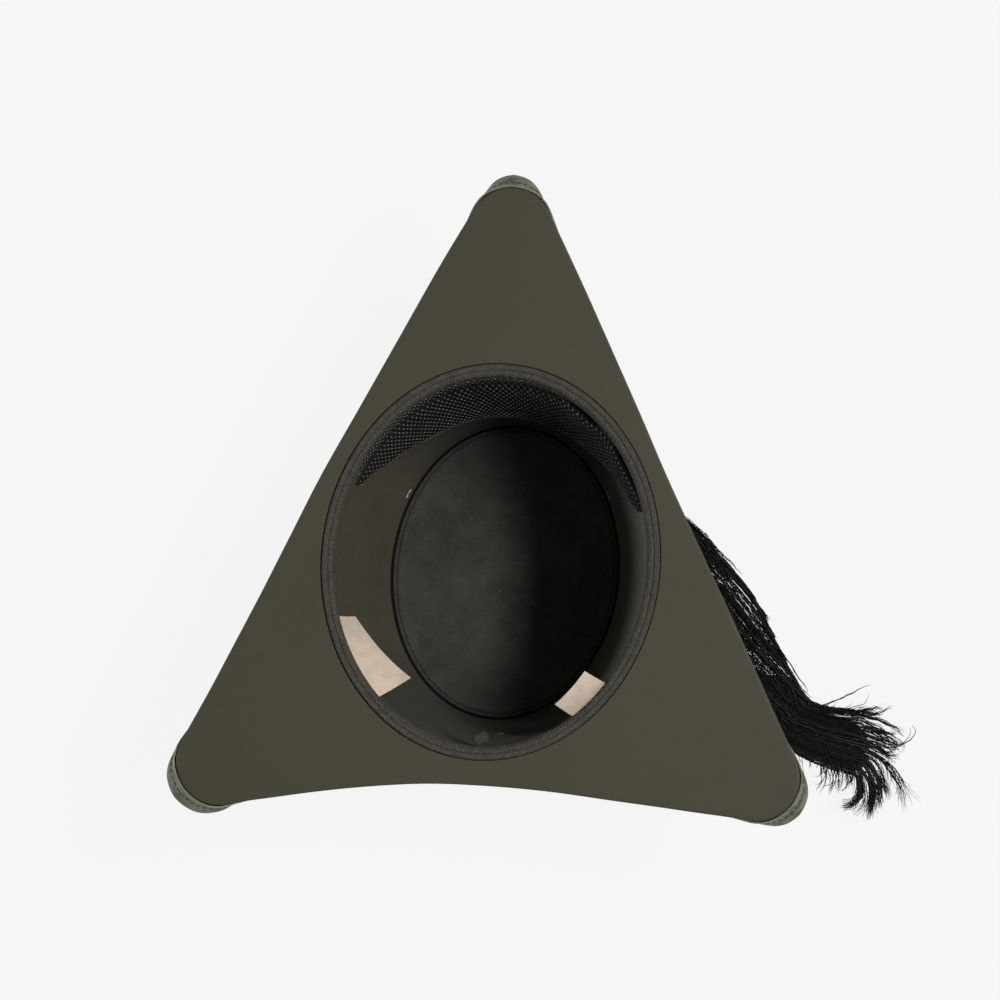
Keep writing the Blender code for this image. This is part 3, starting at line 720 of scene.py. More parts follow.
def flatten(made, sharp=50):
    """Applies a piece's modifiers to its mesh."""
    bpy.context.view_layer.update()
    shown = made.evaluated_get(bpy.context.evaluated_depsgraph_get())
    data = bpy.data.meshes.new_from_object(shown)
    made.modifiers.clear()
    made.data = data
    smooth(data, sharp)


def mark(data, name, values):
    """Gives each point of a mesh a value that its material reads."""
    data.attributes.new(name, "FLOAT", "POINT").data.foreach_set("value", np.float32(values))


def unit(vectors):
    return vectors / np.linalg.norm(vectors, axis=-1, keepdims=True)


def smoothed(points):
    """The points between a line's ends, each eased towards its neighbours."""
    return (points[:-2] + 2 * points[1:-1] + points[2:]) / 4


def tubes(name, paths, radii, sides, look, nodes=(), tones=None):
    """One mesh of closed tapering tubes, one along each row of points."""
    paths, radii = np.asarray(paths, float), np.asarray(radii, float)
    count, steps = paths.shape[:2]
    ahead = unit(np.gradient(paths, axis=1))
    across = np.cross(ahead[:, 0], np.where(np.abs(ahead[:, :1, 2]) < 0.9, [0, 0, 1], [1, 0, 0]))
    rings = np.empty((count, steps, sides, 3))
    turns = math.tau * np.arange(sides) / sides
    for i in range(steps):
        along = ahead[:, i]
        across = unit(across - along * np.sum(across * along, axis=1, keepdims=True))
        proud = np.cross(along, across)
        spokes = across[:, None] * np.cos(turns)[:, None] + proud[:, None] * np.sin(turns)[:, None]
        rings[:, i] = paths[:, i, None] + radii[:, i, None, None] * spokes
    index = np.arange(count * steps * sides).reshape(count, steps, sides)
    after = np.roll(index, -1, axis=2)
    quads = np.stack((index[:, :-1], after[:, :-1], after[:, 1:], index[:, 1:]), axis=-1)
    faces = quads.reshape(-1, 4).tolist()
    faces += index[:, 0, ::-1].tolist() + index[:, -1].tolist()
    data = bpy.data.meshes.new(name)
    data.from_pydata(rings.reshape(-1, 3).tolist(), [], faces)
    data.shade_smooth()
    if tones is not None:
        mark(data, "tone", np.repeat(tones, steps * sides))
    return dress(name, data, look, nodes)


def beads(name, places, radius, look):
    """One mesh of small octahedra, as the knots of a net."""
    places = np.asarray(places, float)
    tips = radius * np.array([(1, 0, 0), (0, 1, 0), (-1, 0, 0), (0, -1, 0), (0, 0, 1), (0, 0, -1)])
    points = places[:, None] + tips
    around = [(0, 1, 4), (1, 2, 4), (2, 3, 4), (3, 0, 4), (1, 0, 5), (2, 1, 5), (3, 2, 5), (0, 3, 5)]
    faces = (6 * np.arange(len(places))[:, None, None] + np.array(around)).reshape(-1, 3)
    data = bpy.data.meshes.new(name)
    data.from_pydata(points.reshape(-1, 3).tolist(), [], faces.tolist())
    data.shade_smooth()
    return dress(name, data, look)


# The crown


WALL_FOOT = LEATHER + GAP
WALL_HEAD = CROWN_DEPTH - LEATHER - GAP - LEATHER / 2
WALL_SHOULDER = WALL_HEAD - FLANGE_BEND
WALL_INSIDE = BAND_THICKNESS + GAP + LEATHER / 2
PAD_TOP = CROWN_DEPTH - BAND_DEPTH - GAP


def wall_half(z, out=0.0):
    """Half width and half length of the wall's middle at height z, moved out."""
    spread = column(CROWN_WALL, (z - WALL_FOOT) / (WALL_HEAD - WALL_FOOT), 1)
    half = []
    for tip, head in ((TIP_WIDTH, HEAD_WIDTH), (TIP_LENGTH, HEAD_LENGTH)):
        foot = (tip - LEATHER) / 2
        half.append(foot + (head / 2 + WALL_INSIDE - foot) * spread + out)
    return half


def oval_point(half, z, angle):
    """A point of an oval of the crown, turned with it, at an angle from its right."""
    x = half[0] * math.cos(angle)
    y = half[1] * math.sin(angle)
    c, s = math.cos(CROWN_TURN), math.sin(CROWN_TURN)
    return Vector((c * x - s * y, s * x + c * y, z))


def oval(half, z):
    return [oval_point(half, z, math.tau * k / OVAL_POINTS) for k in range(OVAL_POINTS)]


def oval_angles(half, spacing):
    """Angles whose points lie evenly spaced round an oval, and their true spacing."""
    fine = [math.tau * share for share in shares(1440)]
    run = run_along([oval_point(half, 0, angle) for angle in fine])
    count = max(1, round(run[-1] / spacing))
    return np.interp(run[-1] * np.arange(count) / count, run, fine), run[-1] / count


def wall_out(angle, z):
    """Outward direction of the wall's oval at an angle, level."""
    half = wall_half(z)
    step = math.radians(1)
    along = oval_point(half, z, angle + step) - oval_point(half, z, angle - step)
    return along.cross(UP).normalized()


def on_wall(angle, z, out=0.0):
    """A point of the wall's middle, moved out."""
    return oval_point(wall_half(z, out), z, angle)


def vent_frames():
    """Where each pinhole goes through the wall's middle, with the way it points."""
    frames = []
    for side in (-1, 1):
        angle = math.pi / 2 - CROWN_TURN + side * VENT_SPREAD
        place = on_wall(angle, VENT_HEIGHT)
        turned = wall_out(angle, VENT_HEIGHT).to_track_quat("Z", "Y").to_matrix().to_4x4()
        for spot in circle(PINHOLES, VENT_RING / 2):
            frames.append(Matrix.Translation(place) @ turned @ Matrix.Translation((*spot, 0)))
    return frames


def pins():
    """The pins that the pinholes are cut with."""
    made = bmesh.new()
    size = {"radius1": PINHOLE / 2, "radius2": PINHOLE / 2, "depth": 4 * LEATHER}
    for place in vent_frames():
        bmesh.ops.create_cone(made, cap_ends=True, segments=14, matrix=place, **size)
    return add("pins", taken(made, "pins"))


def crown_wall(look):
    """The wall, with its flange under the brim and two rings of pinholes."""
    rows = []
    for share in shares(WALL_STEPS):
        z = WALL_FOOT + (WALL_SHOULDER - WALL_FOOT) * share**1.6
        rows.append(oval(wall_half(z), z))
    for share in shares(BEND_STEPS)[1:]:
        turn = math.pi / 2 * share
        out = FLANGE_BEND * (1 - math.cos(turn))
        rows.append(oval(wall_half(WALL_SHOULDER, out), WALL_SHOULDER + FLANGE_BEND * math.sin(turn)))
    rows.append(oval(wall_half(WALL_SHOULDER, FLANGE_BEND + FLANGE_WIDTH), WALL_HEAD))
    made = finish(skin(rows), "crown_wall", look, "suede_inside", ["crown_side"], outward=False)
    spots = [spot for row in rows for spot in row]
    turns = [math.degrees(math.atan2(spot.y, spot.x)) % 360 for spot in rows[0]]
    # Painted shade at the wall's foot, where it meets the tip.
    mark(made.data, "crease", [max(1 - (spot.z - WALL_FOOT) / CREASE_SHADE, 0) for spot in spots])
    # How much painted shade and painted light each point takes, by its angle.
    mark(made.data, "painted_wall_shade", [column(WALL_PAINTED_LIGHT, turn, 1) for turn in turns] * len(rows))
    mark(made.data, "painted_wall_light", [column(WALL_PAINTED_LIGHT, turn, 2) for turn in turns] * len(rows))
    thicken(made, LEATHER, 0)
    cutter = pins()
    holes = made.modifiers.new("Pinholes", "BOOLEAN")
    holes.operation = "DIFFERENCE"
    holes.object = cutter
    flatten(made)
    bpy.data.objects.remove(cutter)


def pinhole_edges(look):
    """The raw lip of each pinhole on the wall's inside."""
    lip = circle(12, PINHOLE / 2)
    paths = [[place @ Vector((*spot, -LEATHER / 2)) for spot in lip + lip[:1]] for place in vent_frames()]
    radii = np.full((len(paths), len(lip) + 1), PINHOLE_EDGE)
    tubes("pinhole_edges", paths, radii, 6, look)


def crown_tip(look):
    """The flat tip: a crease, a rolled welt and a sewn seam round its inside."""
    inside = LEATHER + CREASE
    seam = inside + WELT_WIDTH
    felt = seam + SEAM_WIDTH
    # Inwards, height and how much painted crease shade it gets
    profile = [(4 * TIP_ROUNDING, 0, 0)]
    for share in shares(BEND_STEPS):
        turn = math.pi / 2 * share
        profile.append((TIP_ROUNDING * (1 - math.sin(turn)), TIP_ROUNDING * (1 - math.cos(turn)), 0))
    profile += [(0, LEATHER, 0), (inside * 0.6, LEATHER, 1), (inside, LEATHER, 1)]
    for share in shares(WELT_STEPS)[1:-1]:
        rise = WELT_HEIGHT * math.sin(math.pi * share) ** 0.6
        profile.append((inside + WELT_WIDTH * share, LEATHER + rise, 0))
    profile.append((seam, LEATHER, 0.8))
    for share in shares(SEAM_STEPS)[1:-1]:
        rise = SEAM_HEIGHT * math.sin(math.pi * share) ** 0.4 * (1 - 0.35 * share)
        profile.append((seam + SEAM_WIDTH * share, LEATHER + rise, 0))
    for inwards, rise in TIP_FELT:
        profile.append((felt + inwards, LEATHER + rise, 0))
    rows = [oval((TIP_WIDTH / 2 - inwards, TIP_LENGTH / 2 - inwards), z) for inwards, z, _ in profile]
    made = finish(skin(rows, capped=True), "tip_leather", look, "suede_inside", ["crown_tip"])
    # Painted shade in the crease round the tip's edge.
    mark(made.data, "crease", np.repeat([painted_shade for _, _, painted_shade in profile], OVAL_POINTS))


def tip_stitches(look, rng):
    """A close row of short stitches round the tip's seam."""
    inwards = LEATHER + CREASE + WELT_WIDTH + SEAM_WIDTH * 0.5
    half = (TIP_WIDTH / 2 - inwards, TIP_LENGTH / 2 - inwards)
    angles, pitch = oval_angles(half, TIP_STITCH)
    places = [oval_point(half, LEATHER + SEAM_HEIGHT, angle) for angle in angles]
    size = (pitch * 0.62, TIP_THREAD)
    row_of_stitches("tip_stitches", places, [UP] * len(places), size, look, rng, slant=18)


def row_of_stitches(name, places, facings, size, look, rng, slant=0.0):
    """Short bowed stitches round a closed line of places, each turned by a slant in degrees."""
    length, radius = size
    paths = []
    for i, (place, facing) in enumerate(zip(places, facings)):
        along = (places[(i + 1) % len(places)] - places[i - 1]).normalized()
        turned = Matrix.Rotation(math.radians(slant + rng.uniform(-7, 7)), 3, facing) @ along
        reach = length * rng.uniform(0.88, 1.08) / 2
        path = []
        for share in (-1, -0.75, -0.3, 0.3, 0.75, 1):
            path.append(place + turned * reach * share + facing * radius * (0.9 - 2.6 * share**4))
        paths.append(path)
    radii = np.full((len(paths), 6), radius) * np.array([0.5, 0.9, 1, 1, 0.9, 0.5])
    tubes(name, paths, radii, 5, look)


# The sweatband and what is sewn to it


def band_face(z, inwards=0.0):
    """Half sizes of the band's outer face against the wall at height z, moved in."""
    return wall_half(z, -LEATHER / 2 - GAP - inwards)


def on_band(angle, z, inwards):
    """A point of the band's outer face, moved in."""
    return oval_point(band_face(z, inwards), z, angle)


def rim_section():
    """Half sizes and heights of the band's section, from its outer foot round to its back."""
    clear = (HEAD_WIDTH / 2, HEAD_LENGTH / 2)
    foot = CROWN_DEPTH - BAND_DEPTH
    spots = []
    for across, down in RIM:
        out = across * RIM_WIDTH
        z = CROWN_DEPTH - GAP - down * (LEATHER - GAP)
        spots.append(((clear[0] + out, clear[1] + out), z))
    for share in shares(BAND_STEPS)[1:]:
        z = CROWN_DEPTH - LEATHER + (foot + LEATHER - CROWN_DEPTH) * share
        spots.append((band_face(z, BAND_THICKNESS), z))
    spots.append((band_face(foot - BAND_ROUNDING, BAND_THICKNESS / 2), foot - BAND_ROUNDING))
    spots.append((band_face(foot), foot))
    spots.append((band_face(WALL_SHOULDER), WALL_SHOULDER))
    spots.append(([half + BAND_THICKNESS for half in clear], CROWN_DEPTH - LEATHER))
    return spots


def sweatband(look):
    rows = [oval(half, z) for half, z in rim_section()]
    finish(skin(rows, ring=True), "rim_and_band", look, "trim_leather", ["sweatband"], sharp=70)


def inner_rim_place(angle, run):
    """A point and facing on the sewn slope, a distance past the groove and down the band."""
    spots = rim_section()[SEWN_SLOPE]
    points = [oval_point(half, z, angle) for half, z in spots]
    inward = -wall_out(angle, CROWN_DEPTH)
    for a, b in zip(points, points[1:]):
        step = (b - a).length
        if run <= step:
            ahead = (b - a) / step
            side = UP.cross(inward)
            facing = side.cross(ahead).normalized()
            return a + ahead * run, facing if facing.z + facing.dot(inward) > 0 else -facing
        run -= step
    return points[-1], inward


def rim_stitches(look, rng):
    """Uneven rows of small stitches where the rim is sewn down to the band."""
    half = (HEAD_WIDTH / 2, HEAD_LENGTH / 2)
    paths = []
    for run, spacing, length, slant, scatter in RIM_STITCHES:
        for angle in oval_angles(half, spacing)[0]:
            turn = math.radians(slant + rng.uniform(-25, 25))
            reach = length * rng.uniform(0.6, 1.2) / 2
            middle = angle + rng.uniform(-0.25, 0.25) * spacing / half[1]
            down = run + rng.uniform(-1, 1) * scatter
            path = []
            for share in (-1, -0.5, 0, 0.5, 1):
                depth = max(down + reach * share * math.sin(turn), 0)
                place, facing = inner_rim_place(middle + reach * share * math.cos(turn) / half[1], depth)
                path.append(place + facing * RIM_THREAD * (1 - 1.6 * share**2))
            paths.append(path)
    thick = RIM_THREAD * rng.uniform(0.7, 1.25, len(paths))[:, None] * np.array([0.5, 0.9, 1, 0.9, 0.5])
    tubes("rim_stitches", paths, thick, 4, look)


def pad_angle(way):
    """Where round the head a share of the pad's length lies, from the wearer's right."""
    return math.pi / 2 + PAD_SPREAD * (1 - 2 * way)


def pad_height(way):
    return PAD_HEIGHT * column(PAD, way, 1)


def pad_thickness(way):
    return PAD_THICKNESS * column(PAD, way, 2)


def pad_lean(way, depth):
    """How far the pad stands off the wall at a depth: only near the top of its loose end."""
    return PAD_LEAN * column(LOOSE_END, way, 1) * max(1 - depth / PAD_LEAN_DEPTH, 0)


def pad_place(way, down, off=0.0):
    """A point of the pad's inner face at shares along and down it, raised off it."""
    depth = down * pad_height(way)
    inwards = pad_thickness(way) * column(PAD_FACE, down, 1) + pad_lean(way, depth) + off
    return on_band(pad_angle(way), PAD_TOP - depth, inwards)


def forehead_pad(look):
    """The foam of the pad, full in its middle and thin at both ends."""
    rows = []
    for along in shares(PAD_STEPS):
        way = 0.5 - 0.5 * math.cos(math.pi * along)
        row = [pad_place(way, 0.5 - 0.5 * math.cos(math.pi * share)) for share in shares(PAD_ROWS)]
        for share in (1.0, 0.75, 0.5, 0.3, 0.2, 0.1, 0.0):
            depth = share * pad_height(way)
            row.append(on_band(pad_angle(way), PAD_TOP - depth, pad_lean(way, depth)))
        rows.append(row)
    made = finish(skin(rows, capped=True), "forehead_pad", look, "black_net", ["forehead_mesh"])


def net_rise(way):
    """How far the net reaches up over the band: all the way but at the pad's far end."""
    return NET_RISE * column(NET_TOP, way, 1)


def net_place(way, depth, off):
    """A point of the net a distance down from the pad's top, or up over the band."""
    if depth >= 0:
        return pad_place(way, min(depth / pad_height(way), 1), off)
    inwards = max(pad_thickness(way) * PAD_FACE[0][1], BAND_THICKNESS + GAP) + off
    return on_band(pad_angle(way), PAD_TOP - depth, inwards)


def forehead_net(look, knot_glint_look):
    """Open net over the pad: two slanting sets of threads, knotted where they cross."""
    ways = np.linspace(0, 1, 201)
    run = run_along([pad_place(way, 0.5) for way in ways])
    total = run[-1]
    slope = NET_ACROSS / NET_DOWN
    fine = np.linspace(-NET_RISE, PAD_HEIGHT, 260)
    heights = [pad_height(way) for way in ways]
    tops = [-net_rise(way) for way in ways]
    first = -int(PAD_HEIGHT * slope / NET_ACROSS) - 6
    paths = []
    for sense in (1, -1):
        for k in range(first, int(total / NET_ACROSS) - first):
            along = k * NET_ACROSS + sense * fine * slope
            where = np.interp(along, run, ways)
            inside = (along > 0) & (along < total)
            inside &= (fine < np.interp(where, ways, heights)) & (fine > np.interp(where, ways, tops))
            if inside.sum() < 6:
                continue
            depths = np.linspace(fine[inside][0], fine[inside][-1], NET_STEPS + 1)
            places = np.interp(k * NET_ACROSS + sense * depths * slope, run, ways)
            off = NET_KNOT + NET_THREAD * sense
            paths.append([net_place(way, depth, off) for way, depth in zip(places, depths)])
    radii = np.full((len(paths), NET_STEPS + 1), NET_THREAD)
    tubes("net_threads", paths, radii, 3, look)
    knots = []
    for row in range(-int(2 * NET_RISE / NET_DOWN), int(2 * PAD_HEIGHT / NET_DOWN) + 1):
        depth = row * NET_DOWN / 2
        for k in range(int(total / NET_ACROSS) + 1):
            along = (k + (row % 2) / 2) * NET_ACROSS
            way = np.interp(along, run, ways)
            if along < total and -net_rise(way) < depth < pad_height(way) - NET_KNOT:
                knots.append(net_place(way, depth, NET_KNOT))
    # The knots' pale colour is a painted glint on the dark net.
    beads("net_knots", knots, NET_KNOT, knot_glint_look)


def label(name, look):
    """A ribbon label, sewn along the band and loose at its far edge."""
    start, end, seam, width, start_lift, end_lift, start_skew, end_skew = LABELS[name]
    seam = CROWN_DEPTH - seam
    rows = []
    for share in shares(LABEL_STEPS):
        angle = math.radians(start + (end - start) * share)
        lift = math.radians(start_lift + (end_lift - start_lift) * share**LABEL_FULL)
        skew = start_skew + (end_skew - start_skew) * share
        sewn = on_band(angle, seam, BAND_THICKNESS + GAP)
        inward = -wall_out(angle, seam)
        row = []
        for far in shares(LABEL_ROWS):
            bend = lift * (LABEL_LIFT + (1 - LABEL_LIFT) * far)
            slide = inward.cross(UP) * skew * far * width
            row.append(sewn + width * far * (inward * math.sin(bend) - UP * math.cos(bend)) + slide)
        rows.append(row)
    length = run_along([row[0] for row in rows])[-1]
    mesh = skin(rows, open_rows=True, lengths=(length / LABEL_STEPS, width / LABEL_ROWS))
    made = finish(mesh, f"{name}_ribbon", look, "beige_satin", [name], outward=False)
    thicken(made, LABEL_THICKNESS, 1)


def tab(look):
    """The folded end of the band's cord at the back, leaning to one side."""
    seam = CROWN_DEPTH - TAB_SEAM
    inward = -wall_out(TAB_ANGLE, seam)
    ways = zip(TAB_HEADING, (inward.cross(UP), UP, inward))
    heading = sum((way * share for share, way in ways), Vector((0, 0, 0))).normalized()
    across = heading.cross(UP).normalized()
    proud = across.cross(heading)
    reach = TAB_WIDTH / 2 * abs(across.dot(inward)) + TAB_THICKNESS / 2 * abs(proud.dot(inward))
    root = on_band(TAB_ANGLE, seam, BAND_THICKNESS + GAP + reach)
    rows = []
    for share in shares(TAB_STEPS):
        full = math.sqrt(max(1 - (2 * share - 1) ** 8, 0.05))
        row = []
        for c, s in circle(TAB_POINTS):
            pinch = 1 - TAB_PINCH * math.exp(-((c / 0.22) ** 2))
            wide = TAB_WIDTH / 2 * math.copysign(abs(c) ** 0.7, c) * full
            thick = TAB_THICKNESS / 2 * math.copysign(abs(s) ** 0.7, s) * pinch * full
            row.append(root + heading * TAB_LENGTH * share + across * wide + proud * thick)
        rows.append(row)
    finish(skin(rows, capped=True), "tab_loop", look, "trim_leather", ["sweatband_tab"])


def bar_tack(look):
    """A short row of close stitches on the wall, beside the tab."""
    paths = []
    for row in (-1.5, -0.5, 0.5, 1.5):
        z = CROWN_DEPTH - TACK_DEPTH + row * RIM_THREAD * 1.7
        path = []
        for share in shares(6):
            angle = TACK_ANGLE + (share - 0.5) * TACK_LENGTH / (HEAD_WIDTH / 2)
            bow = RIM_THREAD * (1 - 1.9 * (2 * share - 1) ** 4)
            path.append(on_wall(angle, z, -LEATHER / 2 - bow))
        paths.append(path)
    tubes("bar_tack", paths, np.full((4, 7), RIM_THREAD), 6, look)


# The brim


def corner_centre(name):
    across, along, _ = CORNERS[name]
    reach = HEAD_LENGTH / 2 + (FRONT_BRIM if along > 0 else BACK_BRIM)
    return Vector((across * (HEAD_WIDTH / 2 + SIDE_BRIM), along * reach))


def side_arc(name):
    """Centre and signed radius of the arc that touches two corner arcs, + if it bows out."""
    start, end, bow_share = SIDES[name][:3]
    a, b = corner_centre(start), corner_centre(end)
    chord = (b - a).length
    bow = bow_share * chord
    radius = chord**2 / (8 * abs(bow)) + abs(bow) / 2
    reach = radius - math.copysign(CORNER_RADIUS, bow)
    along = (b - a) / chord
    inward = Vector((-along.y, along.x))
    height = math.sqrt(reach**2 - chord**2 / 4)
    centre = (a + b) / 2 + inward * math.copysign(height, bow)
    return centre, math.copysign(radius, bow)


def touch(corner, side):
    """Direction from a corner arc's centre to where a side's arc touches it."""
    centre, radius = side_arc(side)
    return (corner_centre(corner) - centre).normalized() * math.copysign(1, radius)


def span_pieces(name):
    """Half a corner arc, a side and half a corner arc, as centre, radius, angles, length."""
    start, end = SIDES[name][:2]
    centre, radius = side_arc(name)
    pieces = []
    for corner, first in ((start, True), (end, False)):
        here = corner_centre(corner)
        out = touch(corner, name)
        other = next(s for s in SIDES if s != name and corner in SIDES[s][:2])
        middle = (out + touch(corner, other)).normalized()
        ends = (middle, out) if first else (out, middle)
        angles = [math.atan2(d.y, d.x) for d in ends]
        pieces.append((here, CORNER_RADIUS, angles[0], (angles[1] - angles[0]) % math.tau))
    sign = math.copysign(1, radius)
    ends = [math.atan2(*reversed(touch(c, name) * sign)) for c in (start, end)]
    turn = (ends[1] - ends[0] + math.pi) % math.tau - math.pi
    pieces.insert(1, (centre, abs(radius), ends[0], turn))
    return [piece + (piece[1] * abs(piece[3]),) for piece in pieces]


SPANS = {name: span_pieces(name) for name in SIDES}
SPAN_LENGTHS = {name: sum(piece[4] for piece in pieces) for name, pieces in SPANS.items()}


def fold_line(side, share):
    """Point and outward direction of the fold line at a share of a side's span."""
    pieces = SPANS[side]
    along = share * SPAN_LENGTHS[side]
    for place, (centre, radius, angle, turn, length) in zip(("start", "side", "end"), pieces):
        if along <= length or place == "end":
            way = min(along / length, 1)
            angle += turn * way
            spoke = Vector((math.cos(angle), math.sin(angle)))
            out = spoke * math.copysign(1, turn)
            stray = length * column(BENDS, way, 1 + list(SIDES).index(side))
            return centre + spoke * radius + out * (stray if place == "side" else 0), out
        along -= length


def stations():
    """Places round the whole fold line: each a side and a share of its span."""
    places = []
    for side in SIDES:
        lengths = [piece[4] for piece in SPANS[side]]
        total = sum(lengths)
        places += [(side, lengths[0] / total * k / CORNER_STEPS) for k in range(CORNER_STEPS)]
        for k in range(SIDE_STEPS):
            even = k / SIDE_STEPS
            eased = 0.5 - 0.5 * math.cos(math.pi * even)
            place = even + (eased - even) * 0.75
            places.append((side, (lengths[0] + lengths[1] * place) / total))
        for k in range(CORNER_STEPS):
            places.append((side, (lengths[0] + lengths[1] + lengths[2] * k / CORNER_STEPS) / total))
    return places


def flap(side, share):
    """Turn of the brim past its fold and its length from there, at a share of a span."""
    start, end, _, lean, short, start_ease, end_ease = SIDES[side]
    corner, ease = (start, start_ease) if share < 0.5 else (end, end_ease)
    lip_turn = math.radians(CORNERS[corner][2])
    way = 1 - abs(1 - 2 * share)
    full_turn = math.radians(90 + lean)
    turn = lip_turn + (full_turn - lip_turn) * column(FLAP, way / ease, 2)
    turn += TUCK * column(FLAP, way / ease, 3)
    lip = BINDING_WIDTH + GAP + FOLD_RADIUS * lip_turn
    drop = CROWN_DEPTH - short - BINDING_THICKNESS - BINDING_GAP
    hang = drop - FOLD_RADIUS * (1 - math.cos(full_turn))
    full = FOLD_RADIUS * full_turn + hang / math.sin(full_turn)
    return turn, lip + (full - lip) * column(FLAP, way, 1)


def brim_point(side, share, out):
    """Point of the brim's underside at a distance out from its fold line."""
    base, spoke = fold_line(side, share)
    turn, _ = flap(side, share)
    past = max(out - FOLD_LEVEL, 0)
    angle = min(past / FOLD_CREASE, turn)
    rest = max(past - FOLD_CREASE * turn, 0)
    reach = min(out, FOLD_LEVEL) + FOLD_CREASE * math.sin(angle) + rest * math.cos(angle)
    drop = FOLD_CREASE * (1 - math.cos(angle)) + rest * math.sin(angle)
    return Vector((base.x + spoke.x * reach, base.y + spoke.y * reach, CROWN_DEPTH - drop))


def brim(look):
    """One sheet of leather: flat round the opening, turned up on three sides."""
    hole = (HEAD_WIDTH / 2 + RIM_WIDTH, HEAD_LENGTH / 2 + RIM_WIDTH)
    places = stations()
    columns = []
    for k, (side, share) in enumerate(places):
        turn, length = flap(side, share)
        inner = oval_point(hole, CROWN_DEPTH, math.pi / 2 + math.tau * k / len(places))
        outer = brim_point(side, share, 0)
        points = [inner.lerp(outer, i / UNDERSIDE_STEPS) for i in range(UNDERSIDE_STEPS)]
        bend = FOLD_LEVEL + FOLD_CREASE * turn
        outs = [0] + [FOLD_LEVEL + (bend - FOLD_LEVEL) * share for share in shares(FOLD_STEPS)]
        outs += [bend + (length - bend) * share for share in shares(FLAP_STEPS)[1:]]
        points += [brim_point(side, share, out) for out in outs]
        columns.append(points)
    rows = [list(row) for row in zip(*columns)]
    made = finish(skin(rows), "brim_leather", look, "olive_leather", ["brim"], outward=False)
    thicken(made, LEATHER, -1)


def along_edge(side, share, step):
    """The place a distance along the fold line from another, over a corner if need be."""
    names = list(SIDES)
    moved = share + step / SPAN_LENGTHS[side]
    if moved < 0:
        side = names[names.index(side) - 1]
        moved = 1 + moved
    elif moved > 1:
        side = names[(names.index(side) + 1) % len(names)]
        moved = moved - 1
    return side, moved


def brim_tangents(side, share, out):
    """How the brim's underside runs along the fold line and out from it."""
    step = 0.0004
    ahead, behind = along_edge(side, share, step), along_edge(side, share, -step)
    along = (brim_point(*ahead, out) - brim_point(*behind, out)) / (2 * step)
    outwards = (brim_point(side, share, out + step) - brim_point(side, share, out - step)) / (2 * step)
    slope = (flap(*ahead)[1] - flap(*behind)[1]) / (2 * step)
    return along, outwards, slope


def binding_spots(side, share):
    """Points and facings of the underside, going in square from the brim's edge."""
    out = flap(side, share)[1]
    along, outwards, slope = brim_tangents(side, share, out)
    edge = (along + outwards * slope).normalized()
    normal = outwards.cross(along).normalized()
    inward = normal.cross(edge)
    spots = [(brim_point(side, share, out), normal)]
    here = (side, share)
    for _ in range(BINDING_ROWS):
        a, b = inward.dot(along), inward.dot(outwards)
        aa, ab, bb = along.dot(along), along.dot(outwards), outwards.dot(outwards)
        stride = BINDING_WIDTH / BINDING_ROWS / (aa * bb - ab * ab)
        here = along_edge(*here, (a * bb - b * ab) * stride)
        out += (b * aa - a * ab) * stride
        along, outwards, _ = brim_tangents(*here, out)
        spots.append((brim_point(*here, out), outwards.cross(along).normalized()))
    return spots, inward


def binding_row(spots, inward):
    """The strip's section: over the underside, round the edge, on top and back inside."""
    near = BINDING_GAP
    far = BINDING_GAP + BINDING_THICKNESS
    row = []
    for i in range(BINDING_ROWS, -1, -1):
        point, facing = spots[i]
        share = i / BINDING_ROWS
        dip = BINDING_DIP * math.exp(-(((share - BINDING_SEWN) / BINDING_DIP_REACH) ** 2))
        swell = BINDING_SWELL * math.sin(math.pi * min(share / BINDING_SEWN, 1))
        row.append(point + facing * (far - dip + swell))
    point, facing = spots[0]
    middle = LEATHER / 2 + far
    for k in range(1, 8):
        turn = math.pi * k / 8
        reach = math.sin(turn) * far
        row.append(point - facing * (LEATHER / 2 - math.cos(turn) * middle) - inward * reach)
    row += [point - facing * (LEATHER + far) for point, facing in spots]
    for i, rise in ((-1, -LEATHER - near), (0, -LEATHER - near), (0, near), (-1, near)):
        point, facing = spots[i]
        row.append(point + facing * rise - inward * (near if i == 0 else 0))
    return row


def binding(look, thread_look, rng):
    """A strip folded over the brim's free edge, sewn down near its inner edge."""
    far = BINDING_GAP + BINDING_THICKNESS
    low, part = divmod(BINDING_SEWN * BINDING_ROWS, 1)
    low = int(low)
    rows, places, facings, backs = [], [], [], []
    for side, share in stations():
        spots, inward = binding_spots(side, share)
        rows.append(binding_row(spots, inward))
        point = spots[low][0].lerp(spots[low + 1][0], part)
        facing = spots[low][1]
        places.append(point + facing * (far - BINDING_SINK))
        facings.append(facing)
        backs.append(point - facing * (LEATHER + far))
    mesh = skin(rows, ring=True, lengths=(BINDING_FACET, BINDING_WIDTH / BINDING_ROWS))
    made = finish(mesh, "binding_strip", look, "trim_leather", ["edge_binding"], sharp=70)
    edges = np.zeros(len(rows[0]))
    edges[[0, -1]] = 1
    mark(made.data, "rubbed", np.tile(edges, len(rows)))
    for name, line, sign in (("binding_stitches", places, 1), ("binding_stitches_back", backs, -1)):
        spread, turned, pitch = even_line(line, facings, BINDING_STITCH)
        turned = [facing * sign for facing in turned]
        size = (pitch * 0.74, BINDING_THREAD)
        row_of_stitches(name, spread, turned, size, thread_look, rng)


def even_line(points, facings, spacing):
    """A closed line read again at even spacing, with its facings."""
    run = run_along([*points, points[0]])
    count = round(run[-1] / spacing)
    at = run[-1] * np.arange(count) / count
    spread, faced = (
        [Vector([np.interp(x, run, way) for way in np.array([*line, line[0]]).T]) for x in at]
        for line in (points, facings)
    )
    return spread, [facing.normalized() for facing in faced], run[-1] / count


# The plume


